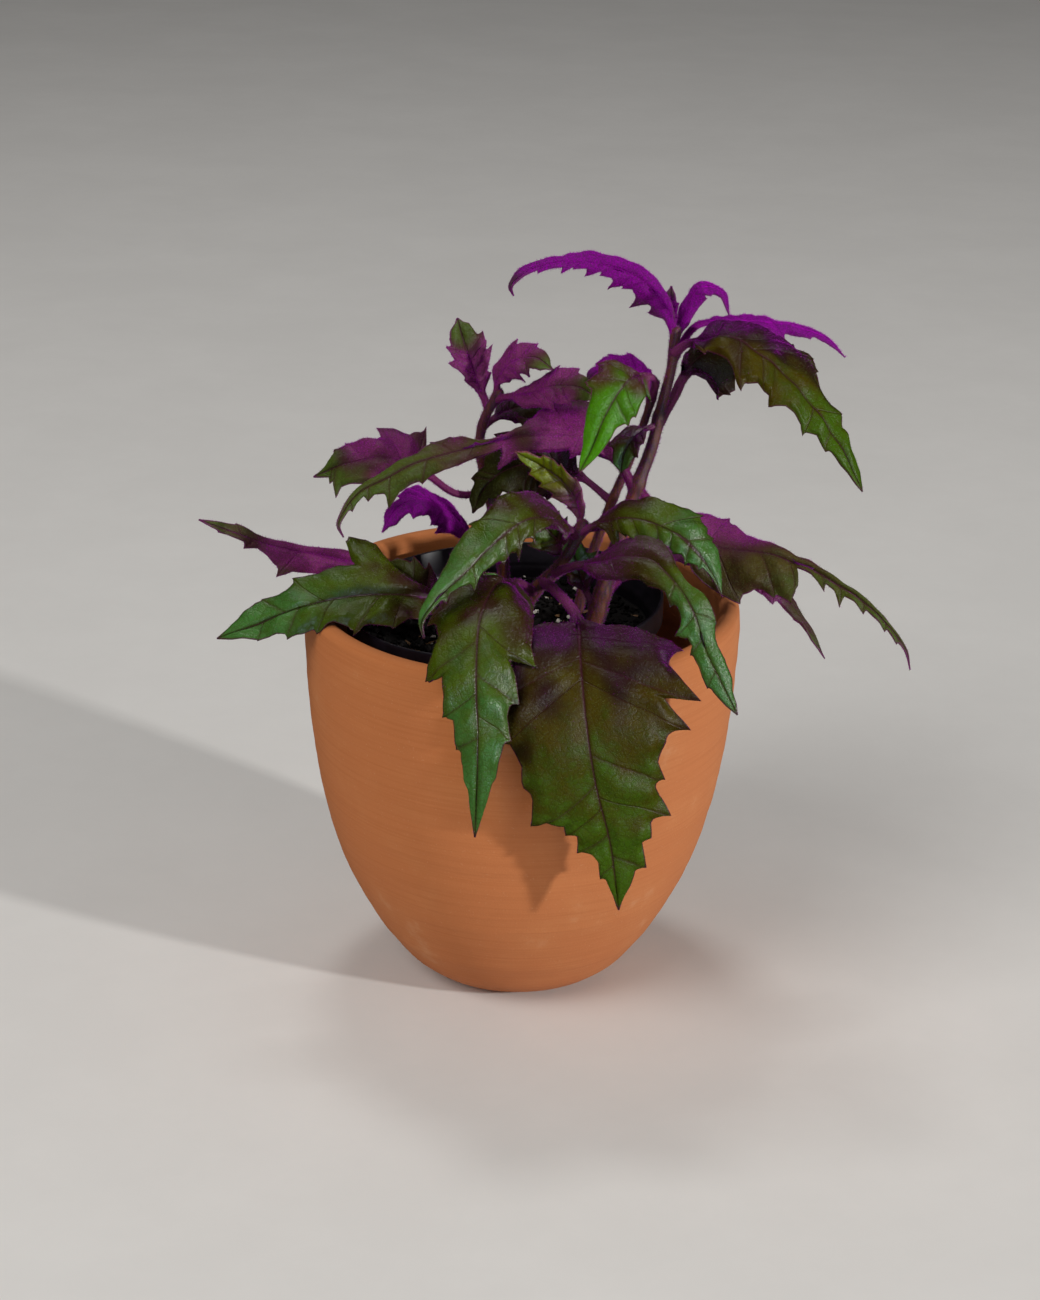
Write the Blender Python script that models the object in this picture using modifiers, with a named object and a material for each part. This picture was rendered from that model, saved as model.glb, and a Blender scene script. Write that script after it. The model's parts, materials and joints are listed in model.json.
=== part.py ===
"""Purple passion plant in a terracotta pot, built as separate closed parts.

Every size below is in millimetres. Z is up, the floor is at Z = 0 under the middle of the pot's flat
base, and the side that faces the photo's camera looks along -Y.
"""

import math
from dataclasses import dataclass

import bmesh
import bpy
import numpy as np
from mathutils import Vector

MM = 0.001

# Space left between parts that stand against each other.
GAP = 0.3

# Terracotta pot: height, flat foot, wall and the egg shaped outside as (height, radius).
POT_HEIGHT = 150.0
POT_FOOT_RADIUS = 29.0
POT_FLOOR = 9.0
POT_WALL = 7.5
POT_OUTSIDE = ((0.0, 29.0), (2.5, 33.5), (7.5, 41.0), (18.0, 50.0), (33.0, 59.0), (51.0, 67.0),
               (72.0, 73.0), (96.0, 77.0), (122.0, 79.3), (142.0, 80.2))
POT_STEPS = 56

# Thin nursery pot that stands in the terracotta pot and leans to the left.
NURSERY_FLOOR_Z = 27.0
NURSERY_HEIGHT = 122.0
NURSERY_FOOT_RADIUS = 43.0
NURSERY_TOP_RADIUS = 55.0
NURSERY_RIM_RADIUS = 58.5
NURSERY_RIM_BAND = 10.0
NURSERY_WALL = 1.3
NURSERY_LEAN_DEG = 3.2
NURSERY_STEPS = 44

# Soil plug, and how far its top lies under the nursery pot's rim.
SOIL_BELOW_RIM = 13.0
SOIL_BUMP = 1.3
SOIL_RINGS = 6
SOIL_STEPS = 40

# Stems reach this far into their holes in the soil, and have a ring of points this far apart.
STEM_DEPTH = 16.0
STEM_STEP = 9.0

# A leaf's section: thickness at the edge, between edge and rib, and of the rib at the base and the tip.
EDGE_THICK = 0.75
BLADE_THICK = 0.85
RIB_TIP_THICK = 0.9

# Forward sweep of the side veins, as a share of the half width they cross.
VEIN_SWEEP = 0.5

# Half width along the blade, as (share of the blade's length, share of its half width).
OUTLINES = {
    "broad": ((0.0, 0.18), (0.04, 0.78), (0.09, 1.0), (0.3, 0.93), (0.5, 0.71), (0.7, 0.43),
              (0.86, 0.22), (1.0, 0.0)),
    "tapered": ((0.0, 0.15), (0.07, 0.68), (0.16, 1.0), (0.33, 0.92), (0.52, 0.62), (0.76, 0.34),
                (0.9, 0.18), (1.0, 0.0)),
    "tailed": ((0.0, 0.15), (0.08, 0.72), (0.18, 1.0), (0.3, 0.92), (0.41, 0.62), (0.52, 0.36),
               (0.72, 0.24), (0.88, 0.15), (1.0, 0.0)),
    "narrow": ((0.0, 0.16), (0.1, 0.6), (0.24, 1.0), (0.42, 0.9), (0.6, 0.62), (0.78, 0.36),
               (0.9, 0.2), (1.0, 0.0)),
    "young": ((0.0, 0.16), (0.14, 0.68), (0.36, 1.0), (0.6, 0.85), (0.8, 0.52), (0.93, 0.22), (1.0, 0.0)),
}


@dataclass(frozen=True)
class Stem:
    """A stem that stands in the soil: its path's points, and its radius at the foot and at the top."""

    name: str
    path: tuple
    foot_radius: float
    top_radius: float


@dataclass(frozen=True)
class Leaf:
    """A leaf with its petiole, from a stem out to the tip.

    path is the midrib's line, its first point near the stem. face_base and face_tip say where the
    upper side looks. left and right hold each half's fold up from the rib, further fold of its outer
    part, both in degrees, and its width as a share of the half width. lobes names teeth that reach
    further than the rest, each as (row, side, stretch) with side -1 for left and 1 for right.
    """

    name: str
    stem: str
    path: tuple
    petiole: float
    petiole_radius: float
    width: float
    face_base: tuple
    face_tip: tuple
    left: tuple = (10.0, -12.0, 1.0)
    right: tuple = (10.0, -12.0, 1.0)
    outline: str = "tapered"
    teeth: int = 6
    tooth_depth: float = 0.22
    wave: float = 1.0
    lobes: tuple = ()
    colour: tuple = (0.08, 0.16, 0.03)


STEMS = (
    Stem("stem_main", ((24, -20, 136), (28, -18, 155), (34, -14, 177), (40, -9, 196), (45, -5, 210),
                       (48, -2, 224), (51, 0, 238), (52, 2, 251)), 3.2, 1.5),
    Stem("stem_front", ((-1, -21, 136), (1, -23, 153), (5, -25, 162), (12, -26, 170), (18, -25, 180),
                        (21, -24, 187)), 2.4, 1.8),
    Stem("stem_back", ((-6, 24, 134), (-9, 25, 160), (-14, 23, 184), (-17, 20, 202), (-15, 18, 212),
                       (-10, 17, 222)), 2.2, 1.5),
    Stem("stem_middle", ((20, 4, 136), (24, 4, 160), (31, 3, 184), (38, 3, 203), (43, 3, 219),
                         (46, 3, 231)), 1.9, 1.3),
    Stem("stem_left", ((-21, -8, 134), (-22, -9, 142), (-24, -10, 150)), 2.2, 2.0),
)

VIOLET = (0.30, 0.03, 0.36)
GREY_PURPLE = (0.12, 0.06, 0.13)
GREEN = (0.04, 0.16, 0.05)
OLIVE = (0.07, 0.08, 0.01)
DARK = (0.035, 0.03, 0.02)

LEAVES = (
    # The main stem's crown.
    Leaf("leaf_crown_left", "stem_main",
         ((51, 2, 250), (46, 2, 258), (38, 3, 266), (28, 3, 270), (15, 3, 271), (3, 1, 268), (-6, -2, 261)),
         8, 1.1, 15, (-0.3, -0.5, 0.8), (-0.7, -0.5, 0.5), left=(-30, -14, 1.0), right=(-16, -10, 0.9),
         outline="young", teeth=6, wave=0.5, colour=VIOLET),
    Leaf("leaf_crown_right", "stem_main",
         ((53, 4, 246), (56, 9, 257), (61, 12, 264), (68, 10, 263), (71, 6, 255)),
         5, 1.0, 11, (-0.4, -0.3, 0.8), (0.9, -0.2, 0.3), left=(-10, -10, 1.0), right=(-20, -10, 1.0),
         outline="young", teeth=4, wave=0.3, colour=VIOLET),
    Leaf("leaf_crown_bud", "stem_main", ((52, 2, 250), (50, 7, 256), (50, 8, 265)),
         4, 0.9, 7, (0.0, -1.0, 0.2), (0.0, -1.0, 0.4), left=(15, 0, 1.0), right=(15, 0, 1.0),
         outline="young", teeth=3, wave=0.2, colour=VIOLET),
    Leaf("leaf_top_right", "stem_main",
         ((52, -1, 244), (58, -8, 250), (68, -13, 253), (84, -20, 246), (104, -30, 227), (117, -36, 205)),
         12, 1.5, 44, (0.0, -0.4, 0.9), (0.5, -0.6, 0.6), left=(-6, -12, 0.8), right=(-10, -12, 1.0),
         outline="tapered", teeth=7, colour=OLIVE),
    Leaf("leaf_top_back", "stem_main",
         ((53, 4, 241), (60, 14, 249), (79, 24, 249), (97, 27, 246), (108, 26, 242), (115, 23, 236)),
         24, 1.3, 16, (0.0, -0.3, 1.0), (0.6, -0.3, 0.8), left=(-16, -10, 1.0), right=(-18, -10, 1.0),
         outline="narrow", teeth=5, wave=0.5, colour=VIOLET),
    Leaf("leaf_top_hanging", "stem_main",
         ((47, -3, 220), (53, 3, 227), (57, 8, 235), (62, 11, 239), (71, 14, 241), (81, 17, 241), (91, 20, 240)),
         21, 1.8, 38, (0.0, -0.1, 1.0), (0.0, -0.1, 1.0), left=(-16, -8, 0.5), right=(-66, 0, 1.0),
         outline="tapered", teeth=4, tooth_depth=0.16, wave=0.2, colour=DARK),
    # The middle stem's leaves, left of the crown.
    Leaf("leaf_bright", "stem_middle",
         ((45, 2, 226), (43, -8, 233), (37, -15, 236), (29, -21, 230), (24, -24, 218), (19, -26, 205)),
         11, 1.2, 30, (-0.1, -0.6, 0.8), (-0.5, -0.85, 0.25), left=(-10, -10, 0.9), right=(-12, -12, 1.0),
         outline="tapered", teeth=5, wave=0.6, colour=GREEN),
    Leaf("leaf_behind_bright", "stem_middle",
         ((46, 4, 224), (42, 11, 230), (35, 14, 233), (27, 14, 232), (21, 13, 227)),
         7, 1.1, 17, (-0.3, -0.5, 0.8), (-0.6, -0.5, 0.7), left=(-12, -10, 1.0), right=(-12, -10, 1.0),
         outline="young", teeth=5, wave=0.5, colour=VIOLET),
    Leaf("leaf_small_inner", "stem_main",
         ((47, -3, 219), (40, -9, 216), (35, -12, 210), (34, -13, 202)),
         6, 0.9, 13, (-0.6, -0.7, 0.4), (-0.4, -0.85, 0.2), left=(10, 0, 1.0), right=(10, 0, 1.0),
         outline="young", teeth=3, wave=0.3, colour=GREEN),
    # The back stem's shoot.
    Leaf("leaf_back_upright", "stem_back",
         ((-13, 19, 216), (-18, 24, 223), (-22, 27, 234), (-26, 28, 246)),
         6, 1.2, 20, (0.6, -0.8, 0.2), (0.5, -0.8, 0.3), left=(12, 0, 1.0), right=(12, 0, 1.0),
         outline="young", teeth=4, wave=0.4, colour=GREY_PURPLE),
    Leaf("leaf_back_top", "stem_back",
         ((-11, 17, 221), (-11, 16, 228), (-5, 13, 235), (2, 11, 237), (9, 9, 233)),
         6, 1.1, 18, (-0.5, -0.5, 0.7), (0.4, -0.6, 0.7), left=(-8, -8, 1.0), right=(-10, -10, 1.0),
         outline="young", teeth=4, wave=0.4, colour=GREY_PURPLE),
    Leaf("leaf_back_right", "stem_back",
         ((-10, 16, 219), (0, 8, 225), (10, 4, 229), (19, 2, 229), (26, 1, 224)),
         9, 1.1, 20, (0.0, -0.6, 0.8), (0.2, -0.7, 0.7), left=(-5, -8, 1.0), right=(-12, -10, 1.0),
         outline="young", teeth=4, wave=0.4, colour=GREY_PURPLE),
    Leaf("leaf_back_dark", "stem_back",
         ((-15, 20, 209), (-7, 29, 211), (3, 33, 212), (14, 35, 209)),
         7, 1.1, 18, (0.0, -0.6, 0.8), (0.1, -0.7, 0.6), left=(0, -6, 1.0), right=(0, -6, 1.0),
         outline="young", teeth=4, wave=0.4, colour=DARK),
    Leaf("leaf_far_left", "stem_back",
         ((-14, 23, 182), (-25, 18, 182), (-39, 19, 191), (-52, 20, 195), (-66, 20, 192), (-78, 19, 187)),
         26, 1.3, 29, (-0.1, -0.6, 0.8), (-0.4, -0.6, 0.7), left=(-8, -10, 1.1), right=(-2, -10, 1.0),
         outline="young", teeth=6, wave=0.3, colour=VIOLET),
    # The long leaves off the main stem.
    Leaf("leaf_long_left", "stem_main",
         ((40, -9, 196), (32, -8, 204), (22, -7, 208), (-6, -7, 207), (-30, -10, 202), (-47, -14, 194),
          (-60, -19, 185), (-66, -22, 176)),
         17, 1.6, 40, (0.0, -0.45, 0.9), (-0.4, -0.6, 0.7), left=(-34, -14, 0.9), right=(-8, -10, 0.9),
         outline="tailed", teeth=8, wave=0.8, colour=GREY_PURPLE),
    Leaf("leaf_long_right", "stem_main",
         ((41, -9, 197), (50, -5, 188), (62, -4, 179), (75, -5, 174), (90, -8, 169), (108, -15, 161),
          (126, -23, 148), (139, -30, 135)),
         20, 1.5, 38, (0.1, -0.5, 0.85), (0.5, -0.5, 0.7), left=(-20, -8, 0.8), right=(-26, -10, 0.9),
         outline="tailed", teeth=8, wave=0.8, colour=GREY_PURPLE),
    Leaf("leaf_under_right", "stem_main",
         ((29, -17, 158), (42, 2, 162), (60, 9, 164), (84, 11, 158), (100, 10, 145), (113, 5, 125)),
         34, 1.3, 20, (0.2, -0.4, 0.95), (0.6, -0.3, 0.6), left=(-10, -8, 1.0), right=(-16, -10, 1.0),
         outline="narrow", teeth=6, wave=0.6, colour=VIOLET),
    # The front stem's crown and its hanging leaves.
    Leaf("leaf_front_upright", "stem_front",
         ((20, -24, 185), (19, -20, 192), (13, -18, 200), (5, -17, 206), (-4, -18, 211)),
         5, 1.0, 14, (-0.4, -0.8, -0.1), (-0.3, -0.9, -0.1), left=(20, 0, 1.0), right=(20, 0, 1.0),
         outline="young", teeth=5, wave=0.4, colour=OLIVE),
    Leaf("leaf_front_left", "stem_front",
         ((20, -25, 183), (9, -38, 194), (-2, -47, 197), (-14, -59, 190), (-24, -69, 179),
          (-32, -77, 165)),
         8, 1.3, 36, (-0.1, -0.5, 0.85), (-0.5, -0.7, 0.5), left=(-34, -10, 0.95), right=(-4, -8, 0.9),
         outline="tapered", teeth=6, wave=0.8, colour=GREEN),
    Leaf("leaf_front_right", "stem_front",
         ((21, -25, 184), (29, -31, 188), (38, -36, 191), (48, -41, 189), (59, -45, 181), (66, -48, 170),
          (69, -50, 159)),
         8, 1.3, 37, (0.1, -0.5, 0.85), (0.5, -0.7, 0.5), left=(-4, -8, 0.9), right=(-34, -10, 0.95),
         outline="tapered", teeth=6, wave=0.8, lobes=((3, 1, 1.12),),
         colour=GREEN),
    Leaf("leaf_low_right", "stem_front",
         ((12, -26, 169), (19, -37, 174), (27, -47, 178), (37, -56, 180), (47, -63, 178), (57, -69, 169),
          (64, -73, 156), (70, -75, 143), (75, -76, 131)),
         18, 1.4, 30, (0.1, -0.6, 0.8), (0.4, -0.85, 0.3), left=(0, -8, 0.8), right=(-26, -8, 0.8),
         outline="tapered", teeth=7, wave=0.7, colour=GREEN),
    Leaf("leaf_big_front", "stem_front",
         ((9, -26, 166), (14, -44, 166), (19, -62, 165), (20, -78, 158), (22, -90, 142), (26, -94, 119),
          (32, -91, 94), (36, -86, 66)),
         37, 1.7, 62, (0.0, -0.7, 0.7), (0.0, -0.98, 0.1), left=(2, -6, 1.12), right=(0, -8, 0.92),
         outline="broad", teeth=7, wave=0.3, lobes=((1, -1, 1.2), (5, -1, 1.08), (5, 1, 1.08)),
         colour=OLIVE),
    Leaf("leaf_hanging_left", "stem_front",
         ((5, -25, 162), (-2, -40, 170), (-9, -54, 174), (-14, -72, 170), (-15, -90, 157), (-14, -100, 138),
          (-14, -101, 117), (-16, -97, 97)),
         24, 1.4, 40, (-0.1, -0.6, 0.8), (-0.1, -0.98, 0.15), left=(-4, -8, 0.95), right=(-20, -8, 1.0),
         outline="tapered", teeth=7, wave=0.8, lobes=((3, -1, 1.2), (3, 1, 1.12)),
         colour=GREEN),
    # Low leaves on the left, over the pot's edge.
    Leaf("leaf_low_left", "stem_left",
         ((-24, -11, 147), (-34, -17, 157), (-57, -24, 163), (-70, -27, 163), (-84, -29, 158),
          (-97, -30, 151), (-111, -30, 142)),
         12, 1.5, 36, (-0.1, -0.4, 0.9), (-0.3, -0.5, 0.8), left=(-2, -6, 0.9), right=(-12, -6, 0.66),
         outline="narrow", teeth=6, wave=0.8, lobes=((3, 1, 1.55), (5, -1, 1.15)),
         colour=GREEN),
    Leaf("leaf_thin_left", "stem_left",
         ((-23, -8, 145), (-34, 8, 150), (-58, 16, 154), (-75, 16, 156), (-91, 14, 159), (-106, 9, 166),
          (-119, 6, 173)),
         26, 1.2, 18, (-0.1, -0.6, 0.85), (0.1, -0.7, 0.8), left=(-6, -8, 1.0), right=(-4, -4, 1.0),
         outline="narrow", teeth=5, wave=0.5, colour=GREY_PURPLE),
    Leaf("leaf_curled_left", "stem_back",
         ((-9, 25, 154), (-20, 15, 168), (-29, 4, 181), (-37, -4, 188), (-45, -8, 186), (-51, -11, 177)),
         22, 1.2, 22, (-0.3, -0.6, 0.8), (-0.8, -0.5, 0.3), left=(-20, -12, 1.0), right=(-10, -10, 1.0),
         outline="young", teeth=5, wave=0.5, colour=VIOLET),
    Leaf("leaf_centre_dark", "stem_middle",
         ((32, 3, 187), (18, 12, 193), (2, 14, 196), (-9, 14, 192), (-16, 14, 184), (-19, 14, 176)),
         16, 1.2, 34, (0.0, -0.9, 0.3), (-0.2, -0.9, 0.3), left=(2, -6, 1.0), right=(2, -6, 1.0),
         outline="tapered", teeth=6, wave=0.6, colour=DARK),
    # Small leaves low between the stems.
    Leaf("leaf_small_left", "stem_front",
         ((0, -22, 147), (-6, -25, 154), (-10, -27, 162), (-14, -28, 169)),
         7, 1.0, 15, (0.2, -0.9, 0.3), (0.1, -0.9, 0.3), left=(8, 0, 1.0), right=(8, 0, 1.0),
         outline="young", teeth=3, wave=0.3, colour=GREEN),
    Leaf("leaf_small_right", "stem_main",
         ((27, -19, 152), (22, -12, 159), (19, -8, 167), (17, -7, 175)),
         8, 1.0, 16, (0.0, -0.9, 0.3), (0.0, -0.9, 0.3), left=(8, 0, 1.0), right=(8, 0, 1.0),
         outline="young", teeth=3, wave=0.3, colour=GREEN),
    Leaf("leaf_small_back", "stem_middle",
         ((24, 4, 160), (15, 2, 168), (8, 0, 176), (3, -1, 185)),
         9, 1.0, 18, (0.1, -0.9, 0.3), (0.0, -0.9, 0.3), left=(8, 0, 1.0), right=(8, 0, 1.0),
         outline="young", teeth=4, wave=0.4, colour=GREEN),
    Leaf("leaf_inner_left", "stem_left",
         ((-23, -10, 142), (-32, -5, 149), (-41, -4, 157), (-50, -4, 163)),
         9, 1.1, 17, (-0.2, -0.8, 0.5), (-0.2, -0.7, 0.6), left=(6, 0, 1.0), right=(6, 0, 1.0),
         outline="young", teeth=4, wave=0.4, colour=DARK),
)


class Path:
    """A smooth curve through points, measured by its length."""

    def __init__(self, points):
        knots = np.array(points, dtype=float)
        chords = np.linalg.norm(np.diff(knots, axis=0), axis=1)
        at = np.concatenate(([0.0], np.cumsum(chords)))
        slopes = np.gradient(knots, at, axis=0)
        fine = np.linspace(0.0, at[-1], 400)
        span = np.clip(np.searchsorted(at, fine, side="right") - 1, 0, len(chords) - 1)
        width = chords[span][:, None]
        share = ((fine - at[span]) / chords[span])[:, None]
        square, cube = share ** 2, share ** 3
        self.points = ((2 * cube - 3 * square + 1) * knots[span] + (3 * square - 2 * cube) * knots[span + 1]
                       + (cube - 2 * square + share) * width * slopes[span]
                       + (cube - square) * width * slopes[span + 1])
        steps = np.linalg.norm(np.diff(self.points, axis=0), axis=1)
        self.distance = np.concatenate(([0.0], np.cumsum(steps)))
        self.length = self.distance[-1]

    def at(self, distance):
        """Point at a distance along the curve, on a straight line past its ends."""
        inside = min(max(distance, 0.0), self.length)
        point = np.array([np.interp(inside, self.distance, self.points[:, axis]) for axis in range(3)])
        return point + (distance - inside) * self.along(inside)

    def along(self, distance):
        """Direction of the curve at a distance along it."""
        before = min(max(distance - 1.5, 0.0), self.length - 3.0)
        ends = [[np.interp(place, self.distance, self.points[:, axis]) for axis in range(3)]
                for place in (before, before + 3.0)]
        return unit(np.array(ends[1]) - np.array(ends[0]))

    def nearest(self, point):
        """Distance along the curve of its point nearest to a given point."""
        return self.distance[np.argmin(np.linalg.norm(self.points - np.array(point, dtype=float), axis=1))]


class Ribbon(Path):
    """A leaf's curve with the direction that its upper side looks in, turned evenly along the blade."""

    def __init__(self, points, blade_start, face_base, face_tip):
        super().__init__(points)
        self.blade_start = blade_start
        first = int(np.searchsorted(self.distance, blade_start))
        last = len(self.points) - 1
        alongs = [self.along(place) for place in self.distance]
        ups = [None] * (last + 1)
        ups[first] = square_to(np.array(face_base), alongs[first])
        for index in range(first + 1, last + 1):
            ups[index] = square_to(ups[index - 1], alongs[index])
        for index in range(first - 1, -1, -1):
            ups[index] = square_to(ups[index + 1], alongs[index])
        wanted = square_to(np.array(face_tip), alongs[last])
        twist = math.atan2(np.dot(np.cross(ups[last], wanted), alongs[last]), np.dot(ups[last], wanted))
        for index in range(first, last + 1):
            angle = twist * (index - first) / (last - first)
            side = np.cross(alongs[index], ups[index])
            ups[index] = math.cos(angle) * ups[index] + math.sin(angle) * side
        self.ups = np.array(ups)

    def up(self, distance):
        """Direction that the upper side looks in, square to the curve."""
        found = np.array([np.interp(distance, self.distance, self.ups[:, axis]) for axis in range(3)])
        return square_to(found, self.along(distance))


def unit(vector):
    """The same direction with length 1."""
    return vector / np.linalg.norm(vector)


def square_to(vector, axis):
    """The part of a vector that is square to an axis, with length 1."""
    return unit(vector - np.dot(vector, axis) * axis)


def stem_path(stem):
    """A stem's curve, with a straight foot that stands in the soil."""
    foot = stem.path[0]
    return Path(((foot[0], foot[1], foot[2] - STEM_DEPTH),) + stem.path)


def stem_radius(stem, path, distance):
    """A stem's radius at a distance along its curve."""
    share = min(max((distance - STEM_DEPTH) / (path.length - STEM_DEPTH), 0.0), 1.0)
    return stem.foot_radius + (stem.top_radius - stem.foot_radius) * share


def leaf_path(leaf):
    """A leaf's curve, starting square to its stem's surface with a small space between them."""
    stem = next(one for one in STEMS if one.name == leaf.stem)
    path = stem_path(stem)
    near = min(path.nearest(leaf.path[0]), path.length - 1.5)
    centre = path.at(near)
    outward = square_to(np.array(leaf.path[1], dtype=float) - centre, path.along(near))
    start = centre + outward * (stem_radius(stem, path, near) + GAP + 0.1)
    knee = start + outward * 2.5
    return Ribbon((tuple(start), tuple(knee)) + leaf.path[1:], leaf.petiole, leaf.face_base, leaf.face_tip)


def collection(name):
    """A new collection in the scene."""
    made = bpy.data.collections.new(name)
    bpy.context.scene.collection.children.link(made)
    return made


def material(name, colour, roughness):
    """A plain Principled material."""
    made = bpy.data.materials.new(name)
    made.use_nodes = True
    shader = made.node_tree.nodes["Principled BSDF"]
    shader.inputs["Base Color"].default_value = (*colour, 1.0)
    shader.inputs["Roughness"].default_value = roughness
    shader.inputs["Metallic"].default_value = 0.0
    return made


def metres(point):
    """A point or an offset in millimetres as three plain numbers in metres."""
    return tuple(MM * float(value) for value in point)


def mesh_object(name, points, faces, home, finish):
    """An object from points in millimetres, its faces turned outwards and shaded smooth."""
    mesh = bpy.data.meshes.new(name)
    mesh.from_pydata([metres(point) for point in points], [], faces)
    shape = bmesh.new()
    shape.from_mesh(mesh)
    bmesh.ops.recalc_face_normals(shape, faces=shape.faces)
    for face in shape.faces:
        face.smooth = True
    shape.to_mesh(mesh)
    shape.free()
    made = bpy.data.objects.new(name, mesh)
    home.objects.link(made)
    mesh.materials.append(finish)
    return made


def turned_object(name, profile, steps, home, finish):
    """A round object from its profile as (radius, height), by a Screw modifier that is then applied."""
    mesh = bpy.data.meshes.new(name)
    points = [(MM * radius, 0.0, MM * height) for radius, height in profile]
    edges = [(index, index + 1) for index in range(len(points) - 1)]
    mesh.from_pydata(points, edges, [])
    source = bpy.data.objects.new(name, mesh)
    home.objects.link(source)
    screw = source.modifiers.new("turn", "SCREW")
    screw.axis = "Z"
    screw.steps = steps
    screw.render_steps = steps
    screw.use_merge_vertices = True
    screw.merge_threshold = 0.00001
    screw.use_smooth_shade = True
    apply_modifiers(source)
    shape = bmesh.new()
    shape.from_mesh(source.data)
    bmesh.ops.remove_doubles(shape, verts=shape.verts, dist=0.000001)
    bmesh.ops.recalc_face_normals(shape, faces=shape.faces)
    shape.to_mesh(source.data)
    shape.free()
    source.data.materials.append(finish)
    return source


def apply_modifiers(source):
    """Puts an object's modifiers into its mesh."""
    graph = bpy.context.evaluated_depsgraph_get()
    done = bpy.data.meshes.new_from_object(source.evaluated_get(graph))
    source.modifiers.clear()
    source.data = done


def terracotta_pot(home):
    """Egg shaped pot with a flat foot, an even wall and a rounded lip."""
    lip = POT_WALL / 2.0
    outside = list(POT_OUTSIDE)
    shoulder = outside[-1][1]
    middle = shoulder - lip - 0.4
    profile = [(0.0, 0.0), (POT_FOOT_RADIUS - 2.0, 0.0)]
    profile += [(radius, height + (0.6 if height == 0.0 else 0.0)) for height, radius in outside]
    for turn in (30.0, 62.0, 90.0, 118.0, 150.0):
        angle = math.radians(turn)
        profile.append((middle + lip * math.cos(angle), POT_HEIGHT - lip + lip * math.sin(angle)))
    inside = [(radius - POT_WALL, height) for height, radius in reversed(outside[3:])]
    profile += inside
    profile += [(38.0, POT_FLOOR + 4.0), (26.0, POT_FLOOR + 0.6), (0.0, POT_FLOOR)]
    return turned_object("terracotta_pot", profile, POT_STEPS, home,
                         material("terracotta", (0.58, 0.205, 0.07), 0.9))


def nursery_pot(home):
    """Thin plastic pot with a wider band at its rim, leaning in the terracotta pot about its foot."""
    top, band = NURSERY_HEIGHT, NURSERY_HEIGHT - NURSERY_RIM_BAND
    wall = NURSERY_WALL
    profile = [
        (0.0, 0.0), (NURSERY_FOOT_RADIUS - 3.0, 0.0), (NURSERY_FOOT_RADIUS, 3.0),
        (NURSERY_TOP_RADIUS, band), (NURSERY_RIM_RADIUS - 0.8, band + 0.6), (NURSERY_RIM_RADIUS, top - 0.5),
        (NURSERY_RIM_RADIUS - 0.4, top), (NURSERY_RIM_RADIUS - wall, top),
        (NURSERY_RIM_RADIUS - wall - 0.7, band + wall + 0.6), (NURSERY_TOP_RADIUS - wall, band),
        (NURSERY_FOOT_RADIUS - wall, 4.0), (NURSERY_FOOT_RADIUS - 3.5, wall + 0.4), (0.0, wall + 0.4),
    ]
    made = turned_object("nursery_pot", profile, NURSERY_STEPS, home,
                         material("black_plastic", (0.02, 0.016, 0.02), 0.45))
    made.location = (0.0, 0.0, MM * NURSERY_FLOOR_Z)
    made.rotation_euler = (0.0, math.radians(-NURSERY_LEAN_DEG), 0.0)
    return made


def soil(pot, home, cutters):
    """Soil plug that leans with its pot, with a lumpy top and a plain hole for each stem."""
    wall = NURSERY_WALL + GAP + 0.15
    top = NURSERY_HEIGHT - SOIL_BELOW_RIM
    foot_height = NURSERY_WALL + 0.4 + GAP
    foot_radius = NURSERY_FOOT_RADIUS - wall - 3.0
    slope = (NURSERY_TOP_RADIUS - NURSERY_FOOT_RADIUS) / (NURSERY_HEIGHT - NURSERY_RIM_BAND - 3.0)
    top_radius = NURSERY_TOP_RADIUS - wall - slope * (SOIL_BELOW_RIM - NURSERY_RIM_BAND)
    profile = [(0.0, foot_height), (foot_radius, foot_height), (foot_radius + 2.6, foot_height + 4.0),
               (top_radius, top - 2.0)]
    profile += [(top_radius * ring / SOIL_RINGS, top) for ring in range(SOIL_RINGS, -1, -1)]
    made = turned_object("soil", profile, SOIL_STEPS, home, material("potting_soil", (0.012, 0.009, 0.008), 0.95))
    for point in made.data.vertices:
        x, y, z = (value / MM for value in point.co)
        if z > top - 1.0:
            lump = math.sin(0.31 * x + 1.0) * math.cos(0.27 * y) + 0.6 * math.sin(0.55 * y + 0.4 * x)
            point.co.z += MM * SOIL_BUMP * lump * min(1.0, (top_radius - math.hypot(x, y)) / 6.0 + 0.3)
    made.parent = pot
    for stem in STEMS:
        cut_hole(made, stem, cutters)
    return made


def cut_hole(body, stem, cutters):
    """Cuts a stem's hole, a little wider and deeper than its foot."""
    x, y, z = stem.path[0]
    depth = STEM_DEPTH + GAP
    height = depth + 12.0
    bpy.ops.mesh.primitive_cylinder_add(vertices=20, radius=MM * (stem.foot_radius + GAP + 0.08),
                                        depth=MM * height,
                                        location=(MM * x, MM * y, MM * (z - depth + height / 2.0)))
    cutter = bpy.context.object
    cutter.name = "hole_for_" + stem.name
    for one in cutter.users_collection:
        one.objects.unlink(cutter)
    cutters.objects.link(cutter)
    cutter.hide_render = True
    cutter.display_type = "WIRE"
    cut = body.modifiers.new("hole", "BOOLEAN")
    cut.operation = "DIFFERENCE"
    cut.solver = "EXACT"
    cut.object = cutter
    apply_modifiers(body)


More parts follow.
